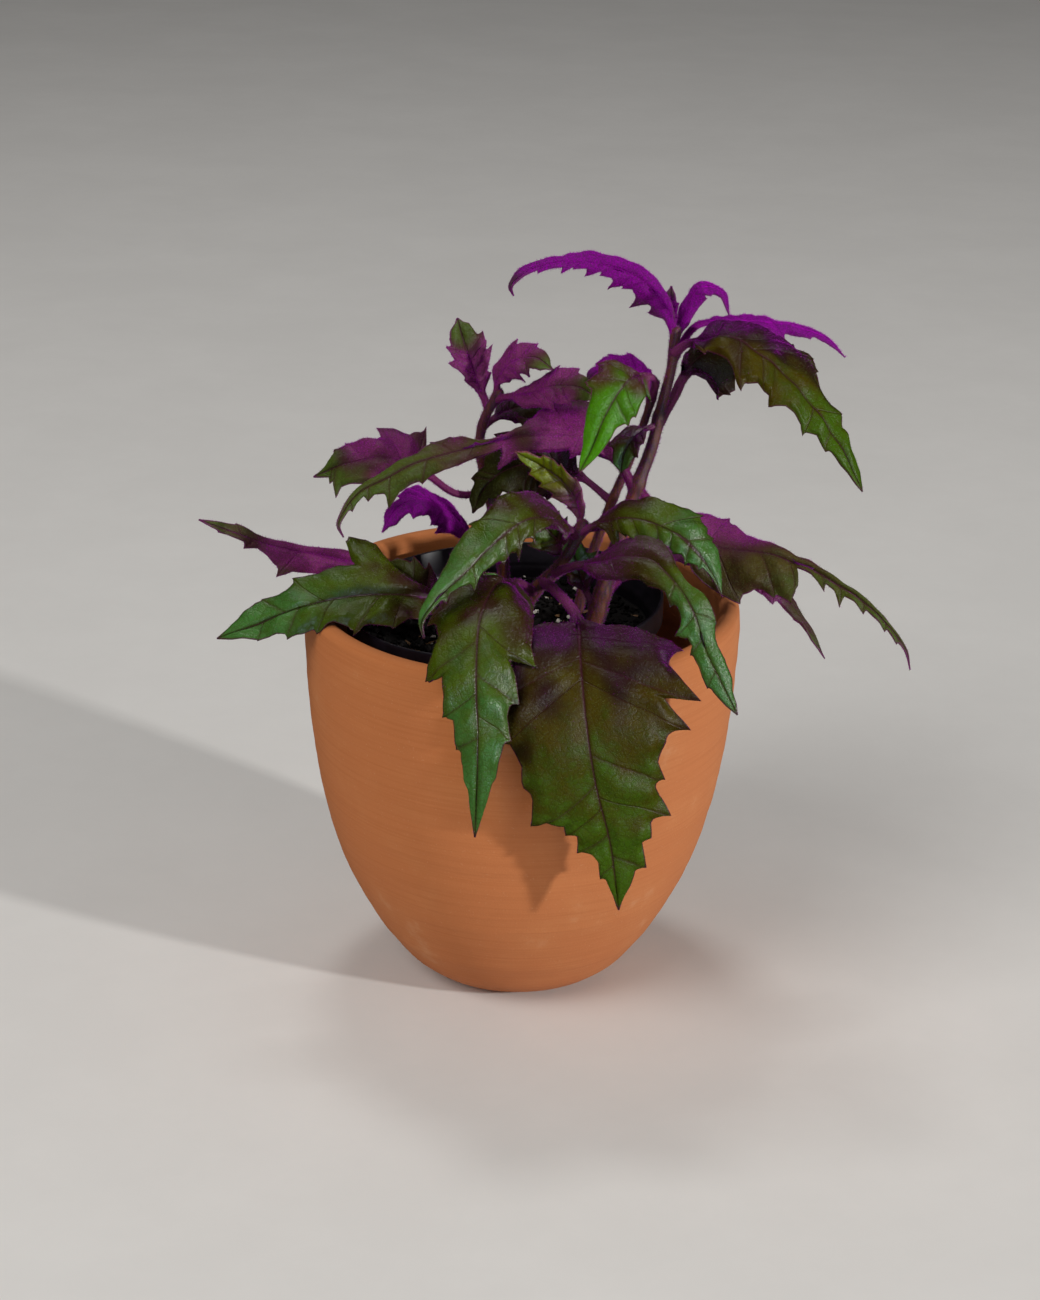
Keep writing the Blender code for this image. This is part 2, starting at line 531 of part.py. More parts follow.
def loft(rings):
    """Faces of a closed skin over rings of ten points, five above and five below each other."""
    faces = []
    for row in range(len(rings) - 1):
        here, there = row * 10, row * 10 + 10
        for column in range(4):
            faces += pair(here + column, here + column + 1, there + column, there + column + 1, column)
            below = [value + 5 for value in (here + column, here + column + 1, there + column,
                                             there + column + 1)]
            faces += pair(*below, column)
        for column in (0, 4):
            faces.append((here + column, there + column, there + column + 5))
            faces.append((here + column, there + column + 5, here + column + 5))
    for end in (0, (len(rings) - 1) * 10):
        for column in range(4):
            faces += pair(end + column, end + column + 1, end + column + 5, end + column + 6, column)
    return faces


def pair(near_left, near_right, far_left, far_right, column):
    """Two triangles over four points, split along the side veins."""
    if column < 2:
        return [(near_left, near_right, far_left), (near_right, far_right, far_left)]
    return [(near_left, near_right, far_right), (near_left, far_right, far_left)]


def round_ring(centre, side, up, radius):
    """Ten points around a petiole, five above and five below."""
    ring = []
    for sign in (1.0, -1.0):
        for turn in (162.0, 126.0, 90.0, 54.0, 18.0):
            angle = math.radians(turn)
            ring.append(centre + radius * (math.cos(angle) * side + sign * math.sin(angle) * up))
    return ring


def stem_object(stem, home):
    """A stem as a round curve with its origin at its foot, tapering to a small rounded top."""
    path = stem_path(stem)
    foot = path.at(0.0)
    count = max(6, round(path.length / STEM_STEP))
    places = [path.length * index / count for index in range(count + 1)] + [path.length + 0.7]
    curve = bpy.data.curves.new(stem.name, "CURVE")
    curve.dimensions = "3D"
    curve.bevel_depth = MM * stem.foot_radius
    curve.bevel_resolution = 2
    curve.use_fill_caps = True
    curve.materials.append(material(stem.name + "_skin", (0.11, 0.055, 0.04), 0.6))
    line = curve.splines.new("POLY")
    line.points.add(len(places) - 1)
    for point, place in zip(line.points, places):
        point.co = (*metres(path.at(place) - foot), 1.0)
        point.radius = stem_radius(stem, path, place) / stem.foot_radius
    line.points[-1].radius *= 0.6
    made = bpy.data.objects.new(stem.name, curve)
    made.location = metres(foot)
    home.objects.link(made)
    return made


def half_width(leaf, share):
    """A blade's half width at a share of its length, before its teeth."""
    shares, widths = zip(*OUTLINES[leaf.outline])
    return 0.5 * leaf.width * float(np.interp(share, shares, widths))


def tooth_reach(leaf, index, side):
    """How far one side of a row reaches: less between teeth, more at a lobe."""
    reach = 1.0 if index % 2 == 1 else 1.0 - leaf.tooth_depth
    for row, lobe_side, stretch in leaf.lobes:
        if (row, lobe_side) == (index, side):
            reach *= stretch
    return reach


def blade_row(leaf, path, share, index):
    """One row of a blade's middle surface, swept forward along the side veins, and its normals."""
    blade = path.length - leaf.petiole
    half = half_width(leaf, share)
    row, normals = [], []
    for across in (-1.0, -0.5, 0.0, 0.5, 1.0):
        fold, bend, wide = leaf.left if across < 0 else leaf.right
        reach = half * wide * abs(across)
        sweep = VEIN_SWEEP * (min(1.0, 4.0 * share) - 0.6 * share) - 0.05
        place = leaf.petiole + blade * share + sweep * reach
        along = path.along(place)
        up = path.up(place)
        side = np.cross(along, up) * math.copysign(1.0, across)
        opening = min(1.0, 0.3 + 5.0 * share)
        inner = math.radians(fold * opening)
        outer = math.radians((fold + bend) * opening)
        point = path.at(place) + 0.5 * half * wide * min(1.0, 2.0 * abs(across)) * (
            math.cos(inner) * side + math.sin(inner) * up)
        lean_angle = 0.0 if across == 0.0 else 0.5 * (inner + outer)
        if abs(across) == 1.0:
            lean_angle = outer
            tooth = tooth_reach(leaf, index, int(across))
            point = point + (tooth - 0.5) * half * wide * (math.cos(outer) * side + math.sin(outer) * up)
            swell = math.sin(2.0 * math.pi * (2.2 * share + 0.25 * across))
            point = point + leaf.wave * swell * min(1.0, half / 8.0) * up
        row.append(point)
        normals.append(math.cos(lean_angle) * up - math.sin(lean_angle) * side)
    return row, normals


def petiole_rings(leaf, path):
    """Round rings from the stem to the blade."""
    count = max(2, round(leaf.petiole / 7.0))
    rings = []
    for index in range(count):
        place = leaf.petiole * index / count
        along = path.along(place) if index else unit(path.at(1.0) - path.at(0.0))
        up = square_to(path.up(place), along)
        rings.append(round_ring(path.at(place), np.cross(along, up), up, leaf.petiole_radius))
    return rings


def leaf_object(leaf, stem, home):
    """A leaf set on its stem at its origin: round petiole rings that pass into thin, toothed rows."""
    path = leaf_path(leaf)
    count = 2 * leaf.teeth
    blade = []
    for index in range(count + 1):
        row, normals = blade_row(leaf, path, 0.985 * index / count, index)
        if index == count:
            up = path.up(path.length)
            side = np.cross(path.along(path.length), up)
            row = [path.at(path.length) + side * offset for offset in (-0.5, -0.25, 0.0, 0.25, 0.5)]
            normals = [up] * 5
        blade.append((row, normals))
    rings = petiole_rings(leaf, path)
    for index, (row, normals) in enumerate(blade):
        rib = 1.7 * leaf.petiole_radius * (1.0 - index / count) ** 1.5 + RIB_TIP_THICK
        thick = (EDGE_THICK, BLADE_THICK, rib, BLADE_THICK, EDGE_THICK)
        above = 0.5 * BLADE_THICK
        if index == 0:
            thick = tuple(share * leaf.petiole_radius for share in (1.0, 1.6, 1.9, 1.6, 1.0))
            above = 0.6 * leaf.petiole_radius
        upper = [row[column] + normals[column] * above for column in range(5)]
        lower = [upper[column] - normals[column] * thick[column] for column in range(5)]
        rings.append(upper + lower)
    base = path.at(0.0)
    points = [point - base for ring in rings for point in ring]
    made = mesh_object(leaf.name, points, loft(rings), home,
                       material(leaf.name + "_skin", leaf.colour, 0.55))
    made.parent = stem
    made.location = Vector(metres(base)) - stem.location
    return made


def main():
    """Builds every part into one collection."""
    for old in list(bpy.data.objects):
        bpy.data.objects.remove(old)
    plant = collection("passion_plant")
    cutters = collection("cutters")
    terracotta_pot(plant)
    inner_pot = nursery_pot(plant)
    soil(inner_pot, plant, cutters)
    stems = {stem.name: stem_object(stem, plant) for stem in STEMS}
    for leaf in LEAVES:
        leaf_object(leaf, stems[leaf.stem], plant)


main()
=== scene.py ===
"""Looks of a potted purple passion plant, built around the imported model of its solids.

The plant's leaves, stems, soil and both pots are made again here with finer shapes, and each one takes
the place of the solid of the same name. Sizes are in millimetres until a mesh is made.
"""

import json
import logging
import math
from collections.abc import Sequence
from dataclasses import dataclass
from enum import Enum

import bmesh
import bpy
import numpy as np
from mathutils import Matrix, Vector

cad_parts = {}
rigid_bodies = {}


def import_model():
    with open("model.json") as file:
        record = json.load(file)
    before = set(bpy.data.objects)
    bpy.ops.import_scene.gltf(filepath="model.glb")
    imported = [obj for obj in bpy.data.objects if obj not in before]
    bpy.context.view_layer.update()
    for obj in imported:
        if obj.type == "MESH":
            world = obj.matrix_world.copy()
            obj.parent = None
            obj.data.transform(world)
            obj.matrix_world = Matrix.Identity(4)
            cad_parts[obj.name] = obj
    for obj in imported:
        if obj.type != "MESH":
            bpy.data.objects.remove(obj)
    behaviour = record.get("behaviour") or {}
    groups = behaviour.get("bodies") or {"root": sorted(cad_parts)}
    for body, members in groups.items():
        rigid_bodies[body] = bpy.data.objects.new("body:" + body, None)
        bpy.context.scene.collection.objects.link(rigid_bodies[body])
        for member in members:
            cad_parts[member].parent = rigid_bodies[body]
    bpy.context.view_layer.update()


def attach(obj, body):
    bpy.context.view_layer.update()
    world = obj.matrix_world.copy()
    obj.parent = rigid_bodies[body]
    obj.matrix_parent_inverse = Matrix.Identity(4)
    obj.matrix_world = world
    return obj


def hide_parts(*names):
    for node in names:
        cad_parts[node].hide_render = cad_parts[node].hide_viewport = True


for old in list(bpy.data.objects):
    bpy.data.objects.remove(old)
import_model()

LOG = logging.getLogger("passion_plant")
MM = 0.001
ROOT = "root"

# The nursery pot: lean, height of its floor over the ground, and height.
NURSERY_LEAN_DEG = 3.2
NURSERY_FLOOR_Z = 27.0
NURSERY_HEIGHT = 122.0

# Space that the model's solids keep between a leaf and its stem, with a little to spare for the
# petiole's round end, and how deep a stem stands in the soil.
GAP = 0.3
SPARE = 0.1
STEM_DEPTH = 16.0

# Forward sweep of the side veins, as a share of the half width they cross.
VEIN_SWEEP = 0.5

# The teeth end at this share of the blade.
TEETH_END = 0.985

# A side vein runs to each tooth that stands out by this share of its reach, where it reaches this far.
VEIN_TOOTH_DEPTH = 0.09
VEIN_TOOTH_REACH = 1.5

# Every second side vein is fainter, so a point near it reads this many times further away from it.
FAINT_VEIN = 2.1

# The blade swells between two side veins as if they stood at most this far apart.
SWELL_LIMIT = 10.0

# Half width along the blade, as (share of the blade's length, share of its half width).
OUTLINES = {
    "broad": ((0.0, 0.18), (0.04, 0.78), (0.09, 1.0), (0.3, 0.93), (0.5, 0.71), (0.7, 0.43),
              (0.86, 0.22), (1.0, 0.0)),
    "tapered": ((0.0, 0.15), (0.07, 0.68), (0.16, 1.0), (0.33, 0.92), (0.52, 0.62), (0.76, 0.34),
                (0.9, 0.18), (1.0, 0.0)),
    "tailed": ((0.0, 0.15), (0.08, 0.72), (0.18, 1.0), (0.3, 0.92), (0.41, 0.62), (0.52, 0.36),
               (0.72, 0.24), (0.88, 0.15), (1.0, 0.0)),
    "narrow": ((0.0, 0.16), (0.1, 0.6), (0.24, 1.0), (0.42, 0.9), (0.6, 0.62), (0.78, 0.36),
               (0.9, 0.2), (1.0, 0.0)),
    "young": ((0.0, 0.16), (0.14, 0.68), (0.36, 1.0), (0.6, 0.85), (0.8, 0.52), (0.93, 0.22), (1.0, 0.0)),
}


def linear(code: str) -> tuple[float, float, float, float]:
    """Turns an sRGB colour into the linear colour that a shader takes.

    Args:
        code: six hexadecimal digits, such as "c87d4b".

    Returns:
        Linear red, green and blue, and an alpha of 1.
    """
    channels = [int(code[start:start + 2], 16) / 255.0 for start in (0, 2, 4)]
    low, high = 0.04045, 2.4
    red, green, blue = (value / 12.92 if value <= low else ((value + 0.055) / 1.055) ** high
                        for value in channels)
    return red, green, blue, 1.0


def smooth(value: np.ndarray | float, start: float, end: float) -> np.ndarray:
    """An eased step from 0 at start to 1 at end."""
    share = np.clip((np.asarray(value, dtype=float) - start) / (end - start), 0.0, 1.0)
    return share * share * (3.0 - 2.0 * share)


def unit(vectors: np.ndarray) -> np.ndarray:
    """The same directions with length 1, along the last axis."""
    return vectors / np.maximum(np.linalg.norm(vectors, axis=-1, keepdims=True), 1e-12)


def square_to(vectors: np.ndarray, axes: np.ndarray) -> np.ndarray:
    """The part of each vector that is square to its axis, with length 1."""
    return unit(vectors - np.sum(vectors * axes, axis=-1, keepdims=True) * axes)


class Tone(Enum):
    """The colourings that this plant's leaves show, from the youngest to the oldest."""

    VIOLET = "violet"
    MAUVE = "mauve"
    LIME = "lime"
    BRIGHT = "bright"
    GREEN = "green"
    OLIVE = "olive"
    DARK = "dark"


@dataclass(frozen=True)
class Stem:
    """A stem that stands in the soil: its path's points, and its radius at the foot and at the top."""

    name: str
    path: tuple
    foot_radius: float
    top_radius: float


@dataclass(frozen=True)
class Leaf:
    """A leaf with its petiole, from a stem out to the tip.

    path is the midrib's line, its first point near the stem. face_base and face_tip say where the
    upper side looks. left and right hold each half's fold up from the rib, further fold of its outer
    part, both in degrees, and its width as a share of the half width. A leaf whose margins are not in
    EDGES has this many teeth on each side, with a depth as a share of the half width. violet is the
    share of the blade, from its base, that dense violet hairs colour.
    """

    name: str
    stem: str
    path: tuple
    petiole: float
    petiole_radius: float
    width: float
    face_base: tuple
    face_tip: tuple
    left: tuple = (10.0, -12.0, 1.0)
    right: tuple = (10.0, -12.0, 1.0)
    outline: str = "tapered"
    teeth: int = 6
    tooth_depth: float = 0.22
    wave: float = 1.0
    tone: Tone = Tone.GREEN
    violet: float = 0.12
    # How much further the violet reaches on the left side than on the right, as a share of the blade.
    violet_tilt: float = 0.0


STEMS = (
    Stem("stem_main", ((24, -20, 136), (28, -18, 155), (34, -14, 177), (40, -9, 196), (45, -5, 210),
                       (48, -2, 224), (51, 0, 238), (52, 2, 251)), 3.2, 1.5),
    Stem("stem_front", ((-1, -21, 136), (1, -23, 153), (5, -25, 162), (12, -26, 170), (18, -25, 180),
                        (21, -24, 187)), 2.4, 1.8),
    Stem("stem_back", ((-6, 24, 134), (-9, 25, 160), (-14, 23, 184), (-17, 20, 202), (-15, 18, 212),
                       (-10, 17, 222)), 2.2, 1.5),
    Stem("stem_middle", ((20, 4, 136), (24, 4, 160), (31, 3, 184), (38, 3, 203), (43, 3, 219),
                         (46, 3, 231)), 1.9, 1.3),
    Stem("stem_left", ((-21, -8, 134), (-22, -9, 142), (-24, -10, 150)), 2.2, 2.0),
)


LEAVES = (
    # The main stem's crown.
    Leaf("leaf_crown_left", "stem_main",
         ((51, 2, 250), (48, 2, 258.5), (43, 2, 265), (37, 3, 269.5), (28, 3, 273), (18, 3, 274.2),
          (9, 2, 274), (1, 1, 272), (-4, -1, 269), (-6.5, -2, 265.5), (-5.5, -3, 263)),
         8, 1.1, 15, (-0.3, -0.5, 0.8), (-0.7, -0.5, 0.5), left=(-30, -14, 1.0), right=(-16, -10, 0.9),
         outline="young", wave=0.5, tone=Tone.VIOLET, violet=0.85),
    Leaf("leaf_crown_right", "stem_main",
         ((53, 4, 246), (56, 9, 257), (61, 12, 264), (68, 10, 263), (71, 6, 255)),
         5, 1.0, 11, (-0.4, -0.3, 0.8), (0.9, -0.2, 0.3), left=(-10, -10, 1.0), right=(-20, -10, 1.0),
         outline="young", teeth=4, wave=0.3, tone=Tone.VIOLET, violet=1.2),
    Leaf("leaf_crown_bud", "stem_main", ((52, 2, 250), (50, 7, 256), (50, 8, 265)),
         4, 0.9, 7, (0.0, -1.0, 0.2), (0.0, -1.0, 0.4), left=(15, 0, 1.0), right=(15, 0, 1.0),
         outline="young", teeth=3, wave=0.2, tone=Tone.VIOLET, violet=0.7),
    Leaf("leaf_top_right", "stem_main",
         ((52, -1, 244), (58, -8, 250), (68, -13, 253), (84, -20, 246), (104, -30, 227), (117, -36, 205)),
         12, 1.5, 44, (0.0, -0.4, 0.9), (0.5, -0.6, 0.6), left=(-6, -12, 0.8), right=(-10, -12, 1.0),
         outline="tapered", tone=Tone.OLIVE, violet=0.14, violet_tilt=0.3),
    Leaf("leaf_top_back", "stem_main",
         ((53, 4, 241), (60, 14, 249), (79, 24, 249), (97, 27, 246), (108, 26, 242), (115, 23, 236)),
         24, 1.3, 16, (0.0, -0.3, 1.0), (0.6, -0.3, 0.8), left=(-16, -10, 1.0), right=(-18, -10, 1.0),
         outline="narrow", teeth=5, wave=0.5, tone=Tone.VIOLET, violet=1.1),
    Leaf("leaf_top_hanging", "stem_main",
         ((47, -3, 220), (53, 3, 227), (57, 8, 235), (62, 11, 239), (71, 14, 241), (81, 17, 241),
          (91, 20, 240)),
         21, 1.8, 38, (0.0, -0.1, 1.0), (0.0, -0.1, 1.0), left=(-16, -8, 0.5), right=(-66, 0, 1.0),
         outline="tapered", teeth=4, tooth_depth=0.16, wave=0.2, tone=Tone.DARK, violet=0.12),
    # The middle stem's leaves, left of the crown.
    Leaf("leaf_bright", "stem_middle",
         ((45, 2, 226), (44.5, -6, 235), (39.7, -11, 238), (35.6, -16, 237.5), (32.5, -20, 235),
          (27, -24, 226), (23.3, -26, 216), (18.8, -27, 206.5)),
         21, 1.2, 30, (-0.1, -0.8, 0.5), (-0.3, -0.85, 0.25), left=(-8, -10, 0.9), right=(-4, -8, 1.0),
         outline="tapered", wave=0.6, tone=Tone.BRIGHT, violet=0.02, violet_tilt=-0.12),
    Leaf("leaf_behind_bright", "stem_middle",
         ((46, 4, 224), (42, 11, 230), (35, 14, 233), (27, 14, 232), (21, 13, 227)),
         7, 1.1, 17, (-0.3, -0.5, 0.8), (-0.6, -0.5, 0.7), left=(-12, -10, 1.0), right=(-12, -10, 1.0),
         outline="young", teeth=5, wave=0.5, tone=Tone.VIOLET, violet=1.0),
    Leaf("leaf_small_inner", "stem_main",
         ((47, -3, 219), (40, -9, 216), (35, -12, 210), (34, -13, 202)),
         6, 0.9, 13, (-0.6, -0.7, 0.4), (-0.4, -0.85, 0.2), left=(10, 0, 1.0), right=(10, 0, 1.0),
         outline="young", teeth=3, wave=0.3, tone=Tone.GREEN, violet=0.5),
    # The back stem's shoot.
    Leaf("leaf_back_upright", "stem_back",
         ((-13, 19, 216), (-18, 24, 223), (-22, 27, 234), (-26, 28, 246)),
         6, 1.2, 20, (0.6, -0.8, 0.2), (0.5, -0.8, 0.3), left=(12, 0, 1.0), right=(12, 0, 1.0),
         outline="young", teeth=4, wave=0.4, tone=Tone.MAUVE, violet=0.55),
    Leaf("leaf_back_top", "stem_back",
         ((-11, 17, 221), (-11, 16, 228), (-5, 13, 235), (2, 11, 237), (9, 9, 233)),
         6, 1.1, 18, (-0.5, -0.5, 0.7), (0.4, -0.6, 0.7), left=(-8, -8, 1.0), right=(-10, -10, 1.0),
         outline="young", teeth=4, wave=0.4, tone=Tone.MAUVE, violet=0.65),
    Leaf("leaf_back_right", "stem_back",
         ((-10, 16, 219), (0, 8, 225), (10, 4, 229), (19, 2, 229), (26, 1, 224)),
         9, 1.1, 20, (0.0, -0.6, 0.8), (0.2, -0.7, 0.7), left=(-5, -8, 1.0), right=(-12, -10, 1.0),
         outline="young", teeth=4, wave=0.4, tone=Tone.MAUVE, violet=0.6),
    Leaf("leaf_back_dark", "stem_back",
         ((-15, 20, 209), (-7, 29, 211), (3, 33, 212), (14, 35, 209)),
         7, 1.1, 18, (0.0, -0.6, 0.8), (0.1, -0.7, 0.6), left=(0, -6, 1.0), right=(0, -6, 1.0),
         outline="young", teeth=4, wave=0.4, tone=Tone.DARK, violet=0.3),
    Leaf("leaf_far_left", "stem_back",
         ((-14, 23, 182), (-25, 18, 182), (-39, 19, 191), (-52, 20, 195), (-66, 20, 192), (-78, 19, 187)),
         26, 1.3, 29, (-0.1, -0.6, 0.8), (-0.4, -0.6, 0.7), left=(-8, -10, 1.1), right=(-2, -10, 1.0),
         outline="young", wave=0.3, tone=Tone.MAUVE, violet=0.5, violet_tilt=-0.2),
    # The long leaves off the main stem.
    Leaf("leaf_long_left", "stem_main",
         ((40, -9, 196), (34, -8, 203), (27.5, -8, 209), (20.5, -7, 213), (6, -7, 213.5), (-7, -7, 212),
          (-16, -8, 210), (-28, -9, 206.5), (-40, -11, 203), (-49.5, -13, 198), (-59, -16, 193.5),
          (-64.5, -20, 187), (-66, -22, 183), (-64, -23, 179)),
         17, 1.6, 40, (0.0, -0.45, 0.9), (-0.4, -0.6, 0.7), left=(-34, -14, 0.9), right=(-8, -10, 0.9),
         outline="tailed", wave=0.8, tone=Tone.MAUVE, violet=0.36),
    Leaf("leaf_long_right", "stem_main",
         ((41, -9, 197), (50, -5, 184), (60, -4, 176), (69, -4, 172), (78, -5, 171), (87, -7, 171),
          (96.5, -9, 169), (103.5, -11, 167), (111, -15, 163.5), (119, -19, 160), (126.5, -23, 155),
          (132.5, -26, 149.5), (137.5, -29, 143), (139.5, -30, 136)),
         20, 1.5, 38, (0.1, -0.5, 0.85), (0.5, -0.5, 0.7), left=(4, -8, 0.8), right=(-26, -10, 0.9),
         outline="tailed", wave=0.8, tone=Tone.MAUVE, violet=0.12, violet_tilt=0.35),
    Leaf("leaf_under_right", "stem_main",
         ((29, -17, 158), (42, 2, 162), (60, 9, 164), (84, 11, 158), (100, 10, 145), (113, 5, 125)),
         34, 1.3, 20, (0.2, -0.4, 0.95), (0.6, -0.3, 0.6), left=(-10, -8, 1.0), right=(-16, -10, 1.0),
         outline="narrow", teeth=6, wave=0.6, tone=Tone.MAUVE, violet=0.6),
    # The front stem's crown and its hanging leaves.
    Leaf("leaf_front_upright", "stem_front",
         ((20, -24, 185), (19, -20, 192), (13, -18, 200), (5, -17, 206), (-4, -18, 211)),
         5, 1.0, 14, (-0.4, -0.8, -0.1), (-0.3, -0.9, -0.1), left=(20, 0, 1.0), right=(20, 0, 1.0),
         outline="young", teeth=5, wave=0.4, tone=Tone.LIME, violet=0.2),
    Leaf("leaf_front_left", "stem_front",
         ((20, -25, 183), (12.5, -34, 191.5), (6, -42, 195.5), (-1, -50, 196), (-11, -58, 190),
          (-21, -67, 182), (-30, -74, 175), (-34, -77, 168), (-33, -78, 163.5)),
         8, 1.3, 36, (-0.1, -0.5, 0.85), (-0.5, -0.7, 0.5), left=(-34, -10, 0.95), right=(-4, -8, 0.9),
         outline="tapered", wave=0.8, tone=Tone.GREEN, violet=0.12),
    Leaf("leaf_front_right", "stem_front",
         ((21, -25, 184), (25.5, -29, 188.5), (34, -36, 193.5), (42, -41, 194.5), (52, -46, 192),
          (59, -49, 186.5), (66, -51, 178), (69, -52, 171)),
         8, 1.3, 37, (0.1, -0.5, 0.85), (0.5, -0.7, 0.5), left=(-4, -8, 0.9), right=(-34, -10, 0.95),
         outline="tapered", wave=0.8, tone=Tone.GREEN, violet=0.08),
    Leaf("leaf_low_right", "stem_front",
         ((12, -26, 169), (19, -36, 175.5), (28, -45, 181), (37, -50, 184.5), (44, -54, 185), (49, -59, 182),
          (54, -64, 178), (59, -69, 170), (63, -72, 159), (69, -75, 147.5), (74.5, -76, 137)),
         18, 1.4, 30, (0.1, -0.6, 0.8), (0.4, -0.85, 0.3), left=(0, -8, 0.8), right=(-26, -8, 0.8),
         outline="tapered", wave=0.7, tone=Tone.GREEN, violet=0.25),
    Leaf("leaf_big_front", "stem_front",
         ((9, -26, 166), (14, -44, 166), (19, -62, 165), (20, -78, 158), (22, -90, 142), (26, -94, 119),
          (32, -91, 94), (36, -86, 66)),
         37, 1.7, 62, (0.0, -0.7, 0.7), (0.0, -0.98, 0.1), left=(2, -6, 1.12), right=(0, -8, 0.92),
         outline="broad", wave=0.3, tone=Tone.OLIVE, violet=0.04),
    Leaf("leaf_hanging_left", "stem_front",
         ((5, -25, 162), (-2, -40, 170), (-9, -54, 174), (-14, -72, 170), (-15, -90, 157), (-14, -100, 138),
          (-14, -101, 117), (-14.5, -97, 98.5)),
         24, 1.4, 40, (-0.1, -0.6, 0.8), (-0.1, -0.98, 0.15), left=(-4, -8, 0.95), right=(-20, -8, 1.0),
         outline="tapered", wave=0.8, tone=Tone.GREEN, violet=0.08),
    # Low leaves on the left, over the pot's edge.
    Leaf("leaf_low_left", "stem_left",
         ((-24, -11, 147), (-35, -18, 155), (-45, -21, 157), (-55, -24, 158), (-66, -26, 157),
          (-88, -29, 150.5), (-102, -30, 145), (-109, -30, 142)),
         12, 1.5, 36, (-0.1, -0.4, 0.9), (-0.3, -0.5, 0.8), left=(-2, -6, 0.9), right=(22, -8, 0.66),
         outline="narrow", wave=0.8, tone=Tone.GREEN, violet=0.03),
    Leaf("leaf_thin_left", "stem_left",
         ((-23, -8, 145), (-34, 8, 150), (-58, 16, 154), (-75, 16, 157.5), (-91, 14, 161), (-106, 9, 168),
          (-119, 6, 174)),
         26, 1.2, 18, (-0.1, -0.6, 0.85), (0.1, -0.7, 0.8), left=(-6, -8, 1.0), right=(-4, -4, 1.0),
         outline="narrow", wave=0.5, tone=Tone.MAUVE, violet=0.7),
    Leaf("leaf_curled_left", "stem_back",
         ((-9, 25, 154), (-20, 15, 168), (-29, 4, 181), (-37, -4, 188), (-45, -8, 186), (-51, -11, 177)),
         22, 1.2, 22, (-0.3, -0.6, 0.8), (-0.8, -0.5, 0.3), left=(-20, -12, 1.0), right=(-10, -10, 1.0),
         outline="young", teeth=5, wave=0.5, tone=Tone.VIOLET, violet=1.3),
    Leaf("leaf_centre_dark", "stem_middle",
         ((32, 3, 187), (18, 12, 193), (2, 14, 196), (-9, 14, 192), (-16, 14, 184), (-19, 14, 176)),
         16, 1.2, 34, (0.0, -0.9, 0.3), (-0.2, -0.9, 0.3), left=(2, -6, 1.0), right=(2, -6, 1.0),
         outline="tapered", teeth=6, wave=0.6, tone=Tone.DARK, violet=0.1),
    # Small leaves low between the stems.
    Leaf("leaf_small_left", "stem_front",
         ((0, -22, 147), (-6, -25, 154), (-10, -27, 162), (-14, -28, 169)),
         7, 1.0, 15, (0.2, -0.9, 0.3), (0.1, -0.9, 0.3), left=(8, 0, 1.0), right=(8, 0, 1.0),
         outline="young", teeth=3, wave=0.3, tone=Tone.GREEN, violet=0.2),
    Leaf("leaf_small_right", "stem_main",
         ((27, -19, 152), (22, -12, 159), (19, -8, 167), (17, -7, 175)),
         8, 1.0, 16, (0.0, -0.9, 0.3), (0.0, -0.9, 0.3), left=(8, 0, 1.0), right=(8, 0, 1.0),
         outline="young", teeth=3, wave=0.3, tone=Tone.GREEN, violet=0.2),
    Leaf("leaf_small_back", "stem_middle",
         ((24, 4, 160), (15, 2, 168), (8, 0, 176), (3, -1, 185)),
         9, 1.0, 18, (0.1, -0.9, 0.3), (0.0, -0.9, 0.3), left=(8, 0, 1.0), right=(8, 0, 1.0),
         outline="young", teeth=4, wave=0.4, tone=Tone.GREEN, violet=0.2),
    Leaf("leaf_inner_left", "stem_left",
         ((-23, -10, 142), (-32, -5, 149), (-41, -4, 157), (-50, -4, 163)),
         9, 1.1, 17, (-0.2, -0.8, 0.5), (-0.2, -0.7, 0.6), left=(6, 0, 1.0), right=(6, 0, 1.0),
         outline="young", teeth=4, wave=0.4, tone=Tone.DARK, violet=0.3),
)


